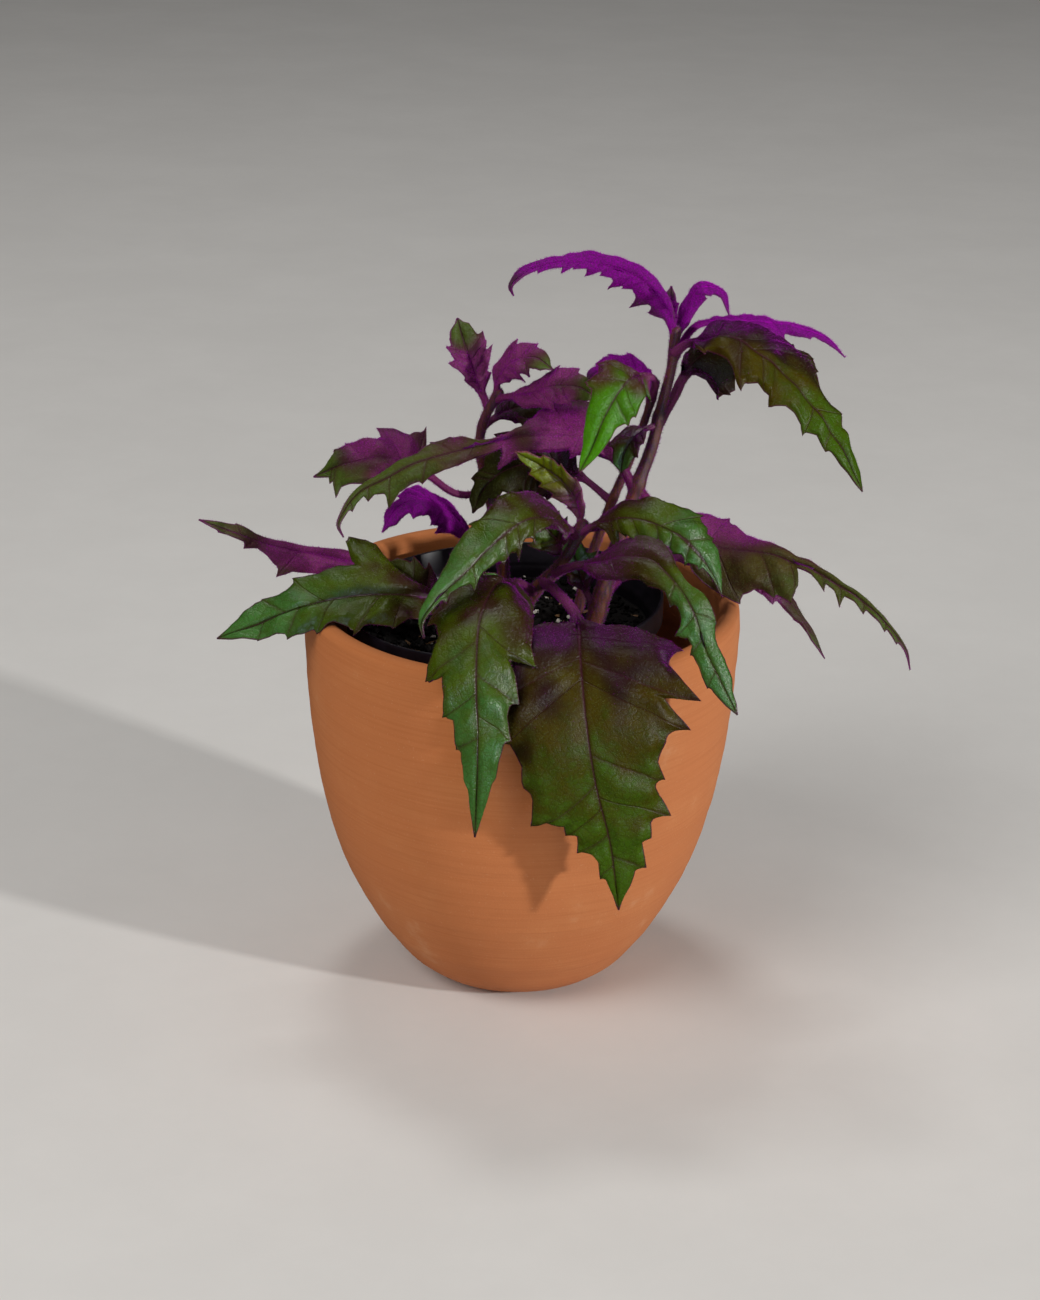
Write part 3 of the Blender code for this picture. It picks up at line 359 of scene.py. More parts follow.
# Margins measured tooth by tooth: for each leaf its left and right margin, each a row of tips and hollows
# as (share of the blade, reach from the midrib in millimetres).
EDGES = {
    "leaf_big_front": (
        ((0, 2.5), (0.04, 9), (0.048, 26), (0.07, 31), (0.088, 35), (0.13, 30), (0.165, 33.5),
         (0.205, 39.5), (0.222, 27.5), (0.245, 30), (0.275, 35), (0.36, 26), (0.445, 22.3), (0.495, 23.6),
         (0.545, 19.8), (0.585, 20.4), (0.62, 22.6), (0.68, 15.2), (0.72, 14.4), (0.755, 11), (0.82, 11.3),
         (0.86, 7), (0.9, 5.2), (0.94, 2.9), (0.97, 1.4), (1, 0.25)),
        ((0, 2.5), (0.012, 15), (0.03, 24), (0.06, 31), (0.11, 27), (0.15, 28.5), (0.185, 31.5),
         (0.215, 26.5), (0.27, 31), (0.305, 27), (0.38, 24), (0.425, 24.8), (0.45, 24.8), (0.482, 23),
         (0.5, 22.7), (0.545, 24.2), (0.585, 25.8), (0.588, 20.2), (0.61, 16.3), (0.627, 14.3),
         (0.655, 14.7), (0.685, 10.7), (0.745, 12), (0.755, 9.9), (0.777, 7), (0.81, 5.2), (0.85, 5.3),
         (0.897, 2.9), (0.945, 1.3), (1, 0.25))),
    "leaf_hanging_left": (
        ((0, 11), (0.01, 12), (0.04, 14.8), (0.13, 17.8), (0.205, 18.9), (0.26, 19.3), (0.305, 20.7),
         (0.343, 21.5), (0.348, 15.5), (0.357, 12.4), (0.38, 12.2), (0.415, 13.7), (0.443, 13.9),
         (0.495, 14.6), (0.533, 11.5), (0.565, 10.5), (0.61, 11.4), (0.665, 8.5), (0.71, 7.2),
         (0.768, 6.5), (0.793, 5.1), (0.853, 3.7), (0.9, 2.5), (0.945, 1.5), (1, 0.25)),
        ((0, 2), (0.06, 4), (0.08, 9.6), (0.09, 13.6), (0.105, 16.3), (0.143, 17.6), (0.19, 19.8),
         (0.24, 15.4), (0.27, 14.4), (0.325, 17.7), (0.393, 19.5), (0.418, 17.8), (0.42, 14.7),
         (0.424, 12.4), (0.488, 11.8), (0.547, 13.6), (0.563, 11.3), (0.575, 8.9), (0.64, 8.3),
         (0.672, 9.1), (0.705, 7.1), (0.74, 5.6), (0.785, 5.1), (0.82, 3.3), (0.862, 2.7), (0.92, 1.5),
         (1, 0.25))),
    "leaf_top_right": (
        ((0, 2), (0.04, 12), (0.1, 17.5), (0.14, 16.5), (0.17, 20), (0.21, 18.5), (0.25, 21),
         (0.29, 20.4), (0.33, 23.7), (0.37, 23.2), (0.42, 19.8), (0.43, 17), (0.5, 14.1), (0.55, 11.6),
         (0.61, 10), (0.65, 11.1), (0.675, 9.9), (0.72, 7), (0.797, 6.2), (0.865, 5.4), (0.92, 4.5),
         (0.965, 2.3), (1, 0.25)),
        ((0, 1.5), (0.03, 6.5), (0.06, 9), (0.075, 7.5), (0.155, 8.4), (0.19, 8.8), (0.225, 10.3),
         (0.24, 12.8), (0.258, 15.6), (0.305, 12), (0.355, 9.8), (0.375, 11), (0.42, 10.9), (0.433, 14.8),
         (0.46, 12.2), (0.507, 9.4), (0.555, 8.2), (0.61, 8), (0.638, 9.8), (0.65, 8), (0.695, 5.6),
         (0.75, 5.8), (0.8, 4.2), (0.86, 3.5), (0.91, 2.4), (1, 0.25))),
    "leaf_front_left": (
        ((0, 4), (0.02, 5), (0.045, 8), (0.07, 5), (0.09, 3.8), (0.15, 3.6), (0.24, 5.2), (0.27, 5.6),
         (0.285, 8.6), (0.305, 6.4), (0.345, 5.6), (0.37, 6.4), (0.392, 10.4), (0.405, 7.6), (0.43, 6.4),
         (0.455, 7.6), (0.5, 5.8), (0.548, 5), (0.593, 4.6), (0.615, 5.4), (0.635, 7.2), (0.67, 4),
         (0.725, 2.2), (0.77, 1.8), (0.785, 3.3), (0.82, 1.5), (0.855, 1.2), (0.95, 0.6), (1, 0.25)),
        ((0, 10), (0.01, 13.5), (0.03, 16.5), (0.08, 17.5), (0.16, 18.3), (0.2, 17), (0.21, 15.6),
         (0.285, 14.2), (0.365, 13.4), (0.385, 13.8), (0.435, 11.5), (0.5, 11.3), (0.53, 11.8),
         (0.545, 11.4), (0.6, 9.2), (0.665, 8), (0.725, 5.8), (0.775, 4.8), (0.83, 4), (0.87, 3.2),
         (0.91, 2), (0.945, 0.9), (1, 0.25))),
    "leaf_front_right": (
        ((0, 3), (0.02, 8.5), (0.07, 8.5), (0.16, 8.3), (0.26, 10.7), (0.3, 11.7), (0.355, 11.4),
         (0.4, 12.3), (0.44, 13.8), (0.48, 14.1), (0.505, 15.8), (0.52, 13.6), (0.545, 12.7), (0.575, 12),
         (0.6, 11.8), (0.63, 10), (0.665, 10.2), (0.705, 8.1), (0.755, 7.8), (0.8, 6.8), (0.84, 6),
         (0.87, 4.6), (0.945, 1.5), (1, 0.25)),
        ((0, 2), (0.04, 2.5), (0.085, 4), (0.105, 6), (0.12, 9.5), (0.14, 11.7), (0.155, 8.4),
         (0.195, 4.9), (0.22, 6.7), (0.25, 6.1), (0.28, 7.3), (0.31, 8.8), (0.345, 10.2), (0.395, 8.6),
         (0.43, 8.8), (0.465, 11.3), (0.478, 13.4), (0.505, 10.8), (0.53, 8.3), (0.55, 6.9), (0.57, 7.5),
         (0.605, 5.9), (0.655, 4), (0.68, 4.2), (0.69, 5.6), (0.72, 3.9), (0.77, 2.6), (0.782, 3.4),
         (0.81, 1.8), (0.86, 1.2), (0.95, 0.6), (1, 0.25))),
    "leaf_low_left": (
        ((0, 3), (0.03, 8), (0.08, 11.5), (0.13, 13.4), (0.175, 16.7), (0.2, 15.6), (0.245, 13.8),
         (0.27, 13.6), (0.3, 14.5), (0.312, 18.2), (0.36, 14.4), (0.375, 13), (0.45, 10.5), (0.48, 10.6),
         (0.51, 11.8), (0.56, 9.6), (0.615, 10.4), (0.65, 11.4), (0.685, 8.4), (0.72, 7), (0.765, 6.7),
         (0.803, 6.9), (0.825, 5.8), (0.885, 3.6), (0.935, 2.3), (0.97, 1.2), (1, 0.25)),
        ((0, 3), (0.08, 8), (0.14, 12), (0.155, 20), (0.165, 23.4), (0.19, 25.2), (0.235, 25.3),
         (0.265, 23.5), (0.275, 18), (0.285, 13.5), (0.37, 13.2), (0.45, 11.6), (0.5, 12), (0.55, 12.6),
         (0.585, 10.5), (0.62, 8.9), (0.71, 9.2), (0.773, 8.1), (0.86, 5.2), (0.935, 2.3), (1, 0.25))),
    "leaf_low_right": (
        ((0, 2), (0.08, 8), (0.15, 11), (0.22, 11), (0.3, 8), (0.38, 5), (0.46, 3.8), (0.49, 4.5),
         (0.51, 6.8), (0.56, 6.8), (0.605, 7), (0.655, 6.3), (0.69, 4.8), (0.72, 4.6), (0.755, 5),
         (0.83, 4.6), (0.86, 4.3), (0.905, 2.6), (0.96, 1.6), (1, 0.25)),
        ((0, 2), (0.08, 7), (0.16, 9), (0.24, 8), (0.35, 8), (0.4, 6), (0.44, 5), (0.475, 6.8),
         (0.53, 4.4), (0.57, 4.8), (0.595, 6.2), (0.612, 9), (0.635, 7), (0.655, 4.6), (0.69, 4),
         (0.702, 5.8), (0.725, 4.8), (0.765, 4.6), (0.8, 5.2), (0.825, 5.4), (0.87, 4.1), (0.9, 3.4),
         (0.945, 2.2), (1, 0.25))),
    "leaf_bright": (
        ((0, 10.5), (0.02, 8), (0.05, 7), (0.08, 8.8), (0.2, 9.6), (0.3, 10), (0.38, 8.6), (0.42, 9.2),
         (0.46, 7.2), (0.52, 6), (0.57, 5.4), (0.63, 5), (0.7, 4.2), (0.8, 3), (0.9, 1.6), (1, 0.25)),
        ((0, 0.8), (0.05, 2), (0.08, 6), (0.1, 9.5), (0.13, 12.6), (0.165, 11), (0.19, 10.3),
         (0.25, 11.9), (0.3, 10.8), (0.33, 8.8), (0.39, 7.7), (0.5, 6.9), (0.56, 6.7), (0.67, 5.3),
         (0.77, 4), (0.84, 3.1), (0.9, 2.1), (0.95, 1.2), (1, 0.25))),
    "leaf_far_left": (
        ((0, 2), (0.1, 9), (0.2, 11.5), (0.35, 11), (0.5, 9.5), (0.65, 8.5), (0.76, 8), (0.825, 11),
         (0.835, 5), (0.855, 5.4), (0.88, 2.8), (0.93, 1.6), (1, 0.25)),
        ((0, 2), (0.04, 8), (0.075, 19.5), (0.11, 15.5), (0.15, 13), (0.2, 13.6), (0.27, 15), (0.335, 10),
         (0.37, 9.3), (0.42, 9), (0.5, 9.6), (0.6, 10.8), (0.63, 10), (0.72, 9.6), (0.735, 7), (0.77, 5),
         (0.81, 3.6), (0.87, 2.2), (0.92, 1.4), (1, 0.25))),
    "leaf_thin_left": (
        ((0, 1.5), (0.08, 4), (0.2, 6), (0.35, 7), (0.45, 7.5), (0.52, 8.2), (0.548, 11.2), (0.6, 6.8),
         (0.65, 4.4), (0.71, 2.7), (0.75, 4.8), (0.785, 2.2), (0.86, 1.7), (0.875, 2.1), (0.93, 1.2),
         (1, 0.25)),
        ((0, 1.5), (0.1, 3.5), (0.3, 3.5), (0.45, 2.6), (0.55, 2.6), (0.64, 2.8), (0.735, 3.6),
         (0.81, 4.2), (0.84, 3.4), (0.9, 2.4), (0.96, 1.2), (1, 0.25))),
    "leaf_long_left": (
        ((0, 2), (0.05, 6), (0.1, 8.2), (0.125, 5.5), (0.17, 6), (0.25, 6), (0.29, 7.5), (0.34, 10.4),
         (0.362, 3.2), (0.42, 4.4), (0.46, 5.5), (0.53, 5), (0.565, 6.4), (0.6, 8.8), (0.625, 7.4),
         (0.67, 7.2), (0.7, 7.4), (0.73, 11.5), (0.748, 4.8), (0.78, 3.6), (0.805, 4.8), (0.825, 2.2),
         (0.86, 2.2), (0.88, 2.8), (0.9, 1.4), (0.95, 0.8), (1, 0.25)),
        ((0, 6), (0.04, 16), (0.08, 20), (0.14, 20.5), (0.185, 14), (0.23, 8.5), (0.3, 3.5), (0.365, 1.3),
         (0.43, 2.2), (0.455, 5.5), (0.478, 8), (0.52, 8.3), (0.565, 6.5), (0.6, 4.4), (0.66, 3.4),
         (0.74, 2.6), (0.82, 1.8), (0.9, 1), (1, 0.25))),
    "leaf_long_right": (
        ((0, 3), (0.06, 11), (0.1, 13), (0.16, 13.5), (0.2, 11), (0.25, 8), (0.3, 6.5), (0.4, 4.2),
         (0.45, 3), (0.55, 2), (0.7, 1.6), (0.85, 1.2), (0.95, 0.7), (1, 0.25)),
        ((0, 2), (0.06, 6), (0.12, 12), (0.17, 16.5), (0.205, 19.2), (0.235, 15.5), (0.275, 13.6),
         (0.32, 13.4), (0.36, 15.6), (0.385, 14.2), (0.43, 15.2), (0.45, 16), (0.458, 11), (0.464, 6.8),
         (0.47, 1.8), (0.52, 2), (0.545, 3), (0.57, 4.8), (0.58, 2.2), (0.61, 2.4), (0.635, 6.7),
         (0.65, 2.4), (0.69, 2), (0.73, 3.4), (0.745, 1.7), (0.8, 1.7), (0.83, 2.6), (0.84, 1.3),
         (0.89, 2), (0.9, 0.9), (1, 0.25))),
    "leaf_crown_left": (
        ((0, 2), (0.03, 5), (0.05, 7.2), (0.085, 5.2), (0.1, 6), (0.12, 12.5), (0.205, 6.3), (0.225, 5.4),
         (0.25, 7), (0.29, 5.6), (0.305, 9.8), (0.385, 3.7), (0.437, 4.2), (0.46, 2.5), (0.5, 5.4),
         (0.54, 2.2), (0.595, 2.7), (0.61, 2), (0.65, 4.2), (0.665, 1.9), (0.72, 1.8), (0.785, 2.4),
         (0.8, 1.2), (0.9, 0.8), (1, 0.25)),
        ((0, 2), (0.06, 3), (0.1, 3.4), (0.2, 4), (0.3, 4), (0.4, 4.4), (0.5, 4.8), (0.57, 5), (0.6, 5),
         (0.64, 3.4), (0.7, 4), (0.8, 3.9), (0.88, 3.2), (0.95, 1.6), (1, 0.25))),
}


def ripples(points: np.ndarray, wavelength: float, seed: int, count: int = 14) -> np.ndarray:
    """A smooth random relief of about -1 to 1, from plane waves in seeded directions.

    Args:
        points: places in millimetres, with coordinates on the last axis.
        wavelength: usual distance between two crests, in millimetres.
        seed: picks the pattern.
        count: number of waves.

    Returns:
        One height for each place.
    """
    source = np.random.default_rng(seed)
    waves = unit(source.normal(size=(count, points.shape[-1])))
    waves *= 2.0 * math.pi / (wavelength * source.uniform(0.6, 1.6, size=(count, 1)))
    shift = source.uniform(0.0, 2.0 * math.pi, count)
    return np.sin(points @ waves.T + shift).sum(axis=-1) / math.sqrt(count)


def curve_through(at: np.ndarray, values: np.ndarray, where: np.ndarray) -> np.ndarray:
    """Reads a smooth curve through given values.

    Args:
        at: rising places of the given values.
        values: one number or one point for each place.
        where: the places to read.

    Returns:
        One number or one point for each place read.
    """
    slopes = np.gradient(values, at, axis=0)
    span = np.clip(np.searchsorted(at, where, side="right") - 1, 0, len(at) - 2)
    width = at[span + 1] - at[span]
    share = (where - at[span]) / width
    if values.ndim > 1:
        width, share = width[:, None], share[:, None]
    square, cube = share ** 2, share ** 3
    return ((2 * cube - 3 * square + 1) * values[span] + (3 * square - 2 * cube) * values[span + 1]
            + (cube - 2 * square + share) * width * slopes[span]
            + (cube - square) * width * slopes[span + 1])


class Path:
    """A smooth curve through points, measured by its length."""

    def __init__(self, points: Sequence) -> None:
        """Lays the curve.

        Args:
            points: the points it passes through, in millimetres.
        """
        knots = np.array(points, dtype=float)
        chords = np.linalg.norm(np.diff(knots, axis=0), axis=1)
        at = np.concatenate(([0.0], np.cumsum(chords)))
        self.points = curve_through(at, knots, np.linspace(0.0, at[-1], 400))
        steps = np.linalg.norm(np.diff(self.points, axis=0), axis=1)
        self.distance = np.concatenate(([0.0], np.cumsum(steps)))
        self.length = float(self.distance[-1])

    def read(self, distance: np.ndarray, rows: np.ndarray) -> np.ndarray:
        """Values kept along the curve, read at distances along it."""
        return np.stack([np.interp(distance, self.distance, rows[:, axis]) for axis in range(3)], axis=-1)

    def at(self, distance: np.ndarray) -> np.ndarray:
        """Points at distances along the curve, on a straight line past its ends."""
        distance = np.asarray(distance, dtype=float)
        inside = np.clip(distance, 0.0, self.length)
        return self.read(inside, self.points) + (distance - inside)[..., None] * self.along(inside)

    def along(self, distance: np.ndarray) -> np.ndarray:
        """Directions of the curve at distances along it."""
        before = np.clip(np.asarray(distance, dtype=float) - 1.5, 0.0, self.length - 3.0)
        return unit(self.read(before + 3.0, self.points) - self.read(before, self.points))

    def nearest(self, point: Sequence) -> float:
        """Distance along the curve of its point nearest to a given point."""
        away = np.linalg.norm(self.points - np.array(point, dtype=float), axis=1)
        return float(self.distance[np.argmin(away)])


class Ribbon(Path):
    """A leaf's curve with the direction that its upper side looks in, turned evenly along the blade."""

    def __init__(self, points: Sequence, blade_start: float, face_base: Sequence, face_tip: Sequence) -> None:
        """Lays the curve and carries the upper side's direction along it.

        Args:
            points: the points it passes through, in millimetres.
            blade_start: distance along the curve at which the blade begins.
            face_base: direction that the upper side looks in where the blade begins.
            face_tip: the same at the tip.
        """
        super().__init__(points)
        first = int(np.searchsorted(self.distance, blade_start))
        last = len(self.points) - 1
        alongs = self.along(self.distance)
        ups = np.zeros_like(self.points)
        ups[first] = square_to(np.array(face_base, dtype=float), alongs[first])
        for index in range(first + 1, last + 1):
            ups[index] = square_to(ups[index - 1], alongs[index])
        for index in range(first - 1, -1, -1):
            ups[index] = square_to(ups[index + 1], alongs[index])
        wanted = square_to(np.array(face_tip, dtype=float), alongs[last])
        twist = math.atan2(np.dot(np.cross(ups[last], wanted), alongs[last]), np.dot(ups[last], wanted))
        angle = (twist * np.clip((np.arange(last + 1) - first) / (last - first), 0.0, 1.0))[:, None]
        self.ups = np.cos(angle) * ups + np.sin(angle) * np.cross(alongs, ups)

    def up(self, distance: np.ndarray) -> np.ndarray:
        """Directions that the upper side looks in, square to the curve."""
        return square_to(self.read(distance, self.ups), self.along(distance))


def stem_path(stem: Stem) -> Path:
    """A stem's curve, with a straight foot that stands in the soil."""
    foot = stem.path[0]
    return Path(((foot[0], foot[1], foot[2] - STEM_DEPTH),) + stem.path)


def stem_radius(stem: Stem, path: Path, distance: np.ndarray) -> np.ndarray:
    """A stem's radius at distances along its curve."""
    share = np.clip((distance - STEM_DEPTH) / (path.length - STEM_DEPTH), 0.0, 1.0)
    return stem.foot_radius + (stem.top_radius - stem.foot_radius) * share


def natural_path(leaf: Leaf) -> tuple[Ribbon, float]:
    """A leaf's curve, which grows out of its stem at an acute angle.

    Args:
        leaf: the leaf.

    Returns:
        The curve, and the distance along it at which the blade begins.
    """
    stem = next(one for one in STEMS if one.name == leaf.stem)
    path = stem_path(stem)
    near = min(path.nearest(leaf.path[0]), path.length - 1.5)
    centre = path.at(near)
    outward = square_to(np.array(leaf.path[1], dtype=float) - centre, path.along(near))
    start = centre + outward * (stem_radius(stem, path, near) + GAP + SPARE)
    # The blade keeps the length and place that it has on the solid, whose petiole starts square.
    solid = Path((tuple(start), tuple(start + outward * 2.5)) + leaf.path[1:])
    blade = solid.length - leaf.petiole
    inside = path.at(near - 0.8 * stem_radius(stem, path, near))
    points = (tuple(inside),) + leaf.path[1:]
    blade_start = Path(points).length - blade
    return Ribbon(points, blade_start, leaf.face_base, leaf.face_tip), blade_start


def row_places(margins: Sequence, blade: float, step: float) -> np.ndarray:
    """Shares of the blade at which it has a row of points: at each tip and hollow, and between them.

    Args:
        margins: the points of both margins.
        blade: the blade's length in millimetres.
        step: usual distance between rows in millimetres.

    Returns:
        Rising shares from 0 to 1.
    """
    stops = [0.0]
    for stop in np.unique(np.concatenate([points[:, 0] for points in margins])):
        if (stop - stops[-1]) * blade > 0.3 and (1.0 - stop) * blade > 0.3:
            stops.append(float(stop))
    stops.append(1.0)
    places = []
    for start, end in zip(stops, stops[1:]):
        count = max(2, round((end - start) * blade / step))
        part = np.arange(count) / count
        places.append(start + (end - start) * (part - 0.6 * np.sin(2.0 * math.pi * part) / (2.0 * math.pi)))
    return np.concatenate(places + [np.array([1.0])])


def read_margin(points: np.ndarray, share: np.ndarray, blade: float) -> tuple:
    """Reads one margin at the blade's rows.

    Args:
        points: the margin's points as (share, reach).
        share: the rows.
        blade: the blade's length in millimetres.

    Returns:
        For each row, in millimetres: reach, push towards the leaf's tip at a tooth, distance to the
        nearest side vein, and how much room the blade has to swell between two side veins.
    """
    at, reach = points.T
    is_tip = np.zeros(len(at), dtype=bool)
    is_tip[1:-1] = (reach[1:-1] > reach[:-2]) & (reach[1:-1] > reach[2:])
    span = np.clip(np.searchsorted(at, share, side="right") - 1, 0, len(at) - 2)
    width = at[span + 1] - at[span]
    part = (share - at[span]) / width
    leaves_tip, meets_tip = is_tip[span] & ~is_tip[span + 1], is_tip[span + 1] & ~is_tip[span]
    eased = np.where(leaves_tip, 1.0 - (1.0 - part) ** 1.8, np.where(meets_tip, part ** 1.25, part))
    margin = reach[span] + (reach[span + 1] - reach[span]) * eased
    # A tooth's tip is pushed forward by under half of the way to the next hollow.
    ahead = np.minimum(np.append(np.diff(at), 0.0), 0.06) * blade
    hook = np.where(leaves_tip, (1.0 - part) ** 2 * ahead[span],
                    np.where(meets_tip, part ** 3 * ahead[np.minimum(span + 1, len(at) - 1)], 0.0))
    low = np.minimum(np.roll(reach, 1), np.roll(reach, -1))
    veins = at[is_tip & (reach - low > VEIN_TOOTH_DEPTH * reach) & (reach > VEIN_TOOTH_REACH)]
    # The first and last stand just past the blade's ends.
    veins = np.concatenate(([-0.04], veins, [1.05]))
    after = np.clip(np.searchsorted(veins, share), 1, len(veins) - 1)
    away = np.abs(share[:, None] - veins[None])
    gap = away.min(axis=1) * blade
    room = (veins[after] - veins[after - 1]) * blade
    faint = np.where(np.argmin(away, axis=1) % 2, FAINT_VEIN, 1.0)
    swell = np.minimum(room, SWELL_LIMIT) * np.sin(math.pi * np.clip(gap / room, 0.0, 1.0)) ** 2
    return margin, 0.45 * hook, gap * faint, swell


def grid_normals(grid: np.ndarray, closed: bool) -> np.ndarray:
    """Unit normals of a grid of points, outwards where its rows run clockwise about the way ahead.

    Args:
        grid: points as rows, columns and coordinates.
        closed: whether each row is a ring.

    Returns:
        One normal for each point.
    """
    forward = np.gradient(grid, axis=0)
    sideways = np.roll(grid, -1, axis=1) - np.roll(grid, 1, axis=1) if closed else np.gradient(grid, axis=1)
    return unit(np.cross(sideways, forward))


def ring_faces(rows: int, count: int) -> list[tuple[int, ...]]:
    """Faces of a closed skin over rings whose first half lies over their second half.

    Args:
        rows: number of rings.
        count: number of points in each ring.

    Returns:
        Quads of the skin and of its two ends.
    """
    faces = []
    for row in range(rows - 1):
        here, there = row * count, row * count + count
        for column in range(count):
            after = (column + 1) % count
            faces.append((here + column, here + after, there + after, there + column))
    end = (rows - 1) * count
    for column in range(count // 2 - 1):
        under, after = count - 1 - column, count - 2 - column
        faces.append((column + 1, column, under, after))
        faces.append((end + column, end + column + 1, end + after, end + under))
    return faces


def mesh_piece(name: str, points: np.ndarray, faces: Sequence, finish: bpy.types.Material,
               is_smooth: bool = True) -> bpy.types.Object:
    """Makes a piece that rides on the plant's one body.

    Args:
        name: the piece's name.
        points: its points in millimetres, in the model's frame.
        faces: its faces, as indices of points.
        finish: its first material.
        is_smooth: whether it is shaded smooth.

    Returns:
        The new object.
    """
    mesh = bpy.data.meshes.new(name)
    mesh.from_pydata((np.asarray(points).reshape(-1, 3) * MM).tolist(), [], faces)
    mesh.polygons.foreach_set("use_smooth", [is_smooth] * len(mesh.polygons))
    mesh.materials.append(finish)
    mesh.update()
    piece = bpy.data.objects.new(name, mesh)
    bpy.context.scene.collection.objects.link(piece)
    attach(piece, ROOT)
    return piece


def give_values(piece: bpy.types.Object, values: dict[str, np.ndarray]) -> None:
    """Keeps named numbers on a piece's points, for its material to read.

    Args:
        piece: the piece.
        values: one number for each point, under the name that the material reads.
    """
    for name, numbers in values.items():
        layer = piece.data.attributes.new(name, "FLOAT", "POINT")
        layer.data.foreach_set("value", np.asarray(numbers, dtype=np.float32).ravel())


def node(tree: bpy.types.NodeTree, kind: str, inputs: dict | None = None,
         **settings: object) -> bpy.types.Node:
    """Adds a node to a material.

    Args:
        tree: the material's node tree.
        kind: the node's type.
        inputs: a value or an output to link, for each input by name or number.
        settings: the node's own settings.

    Returns:
        The new node.
    """
    made = tree.nodes.new(kind)
    for name, value in settings.items():
        setattr(made, name, value)
    for key, value in (inputs or {}).items():
        if isinstance(value, bpy.types.NodeSocket):
            tree.links.new(value, made.inputs[key])
        else:
            made.inputs[key].default_value = value
    return made


def per_metre(size: float) -> float:
    """The scale of a pattern whose marks are this many millimetres apart."""
    return 1.0 / (MM * size)


def new_material(name: str, roughness: float, settings: dict | None = None) -> tuple:
    """A material with its shader, its node tree and the place on the object.

    Args:
        name: the material's name.
        roughness: the shader's roughness.
        settings: further values for the shader's own inputs.

    Returns:
        The material, its tree, its shader and the object coordinates.
    """
    made = bpy.data.materials.new(name)
    made.use_nodes = True
    tree = made.node_tree
    shader = tree.nodes["Principled BSDF"]
    shader.inputs["Roughness"].default_value = roughness
    for key, value in (settings or {}).items():
        shader.inputs[key].default_value = value
    place = node(tree, "ShaderNodeTexCoord").outputs["Object"]
    return made, tree, shader, place


def layered(tree: bpy.types.NodeTree, first: str, layers: Sequence) -> bpy.types.NodeSocket:
    """Lays colours over each other.

    Args:
        tree: the material's node tree.
        first: the lowest colour, as hexadecimal digits.
        layers: the colours over it, each as the output that gives its share and its digits.

    Returns:
        The output with the last colour.
    """
    colour = linear(first)
    for share, over in layers:
        colour = node(tree, "ShaderNodeMix", {0: share, 6: colour, 7: linear(over)},
                      data_type="RGBA").outputs[2]
    return colour


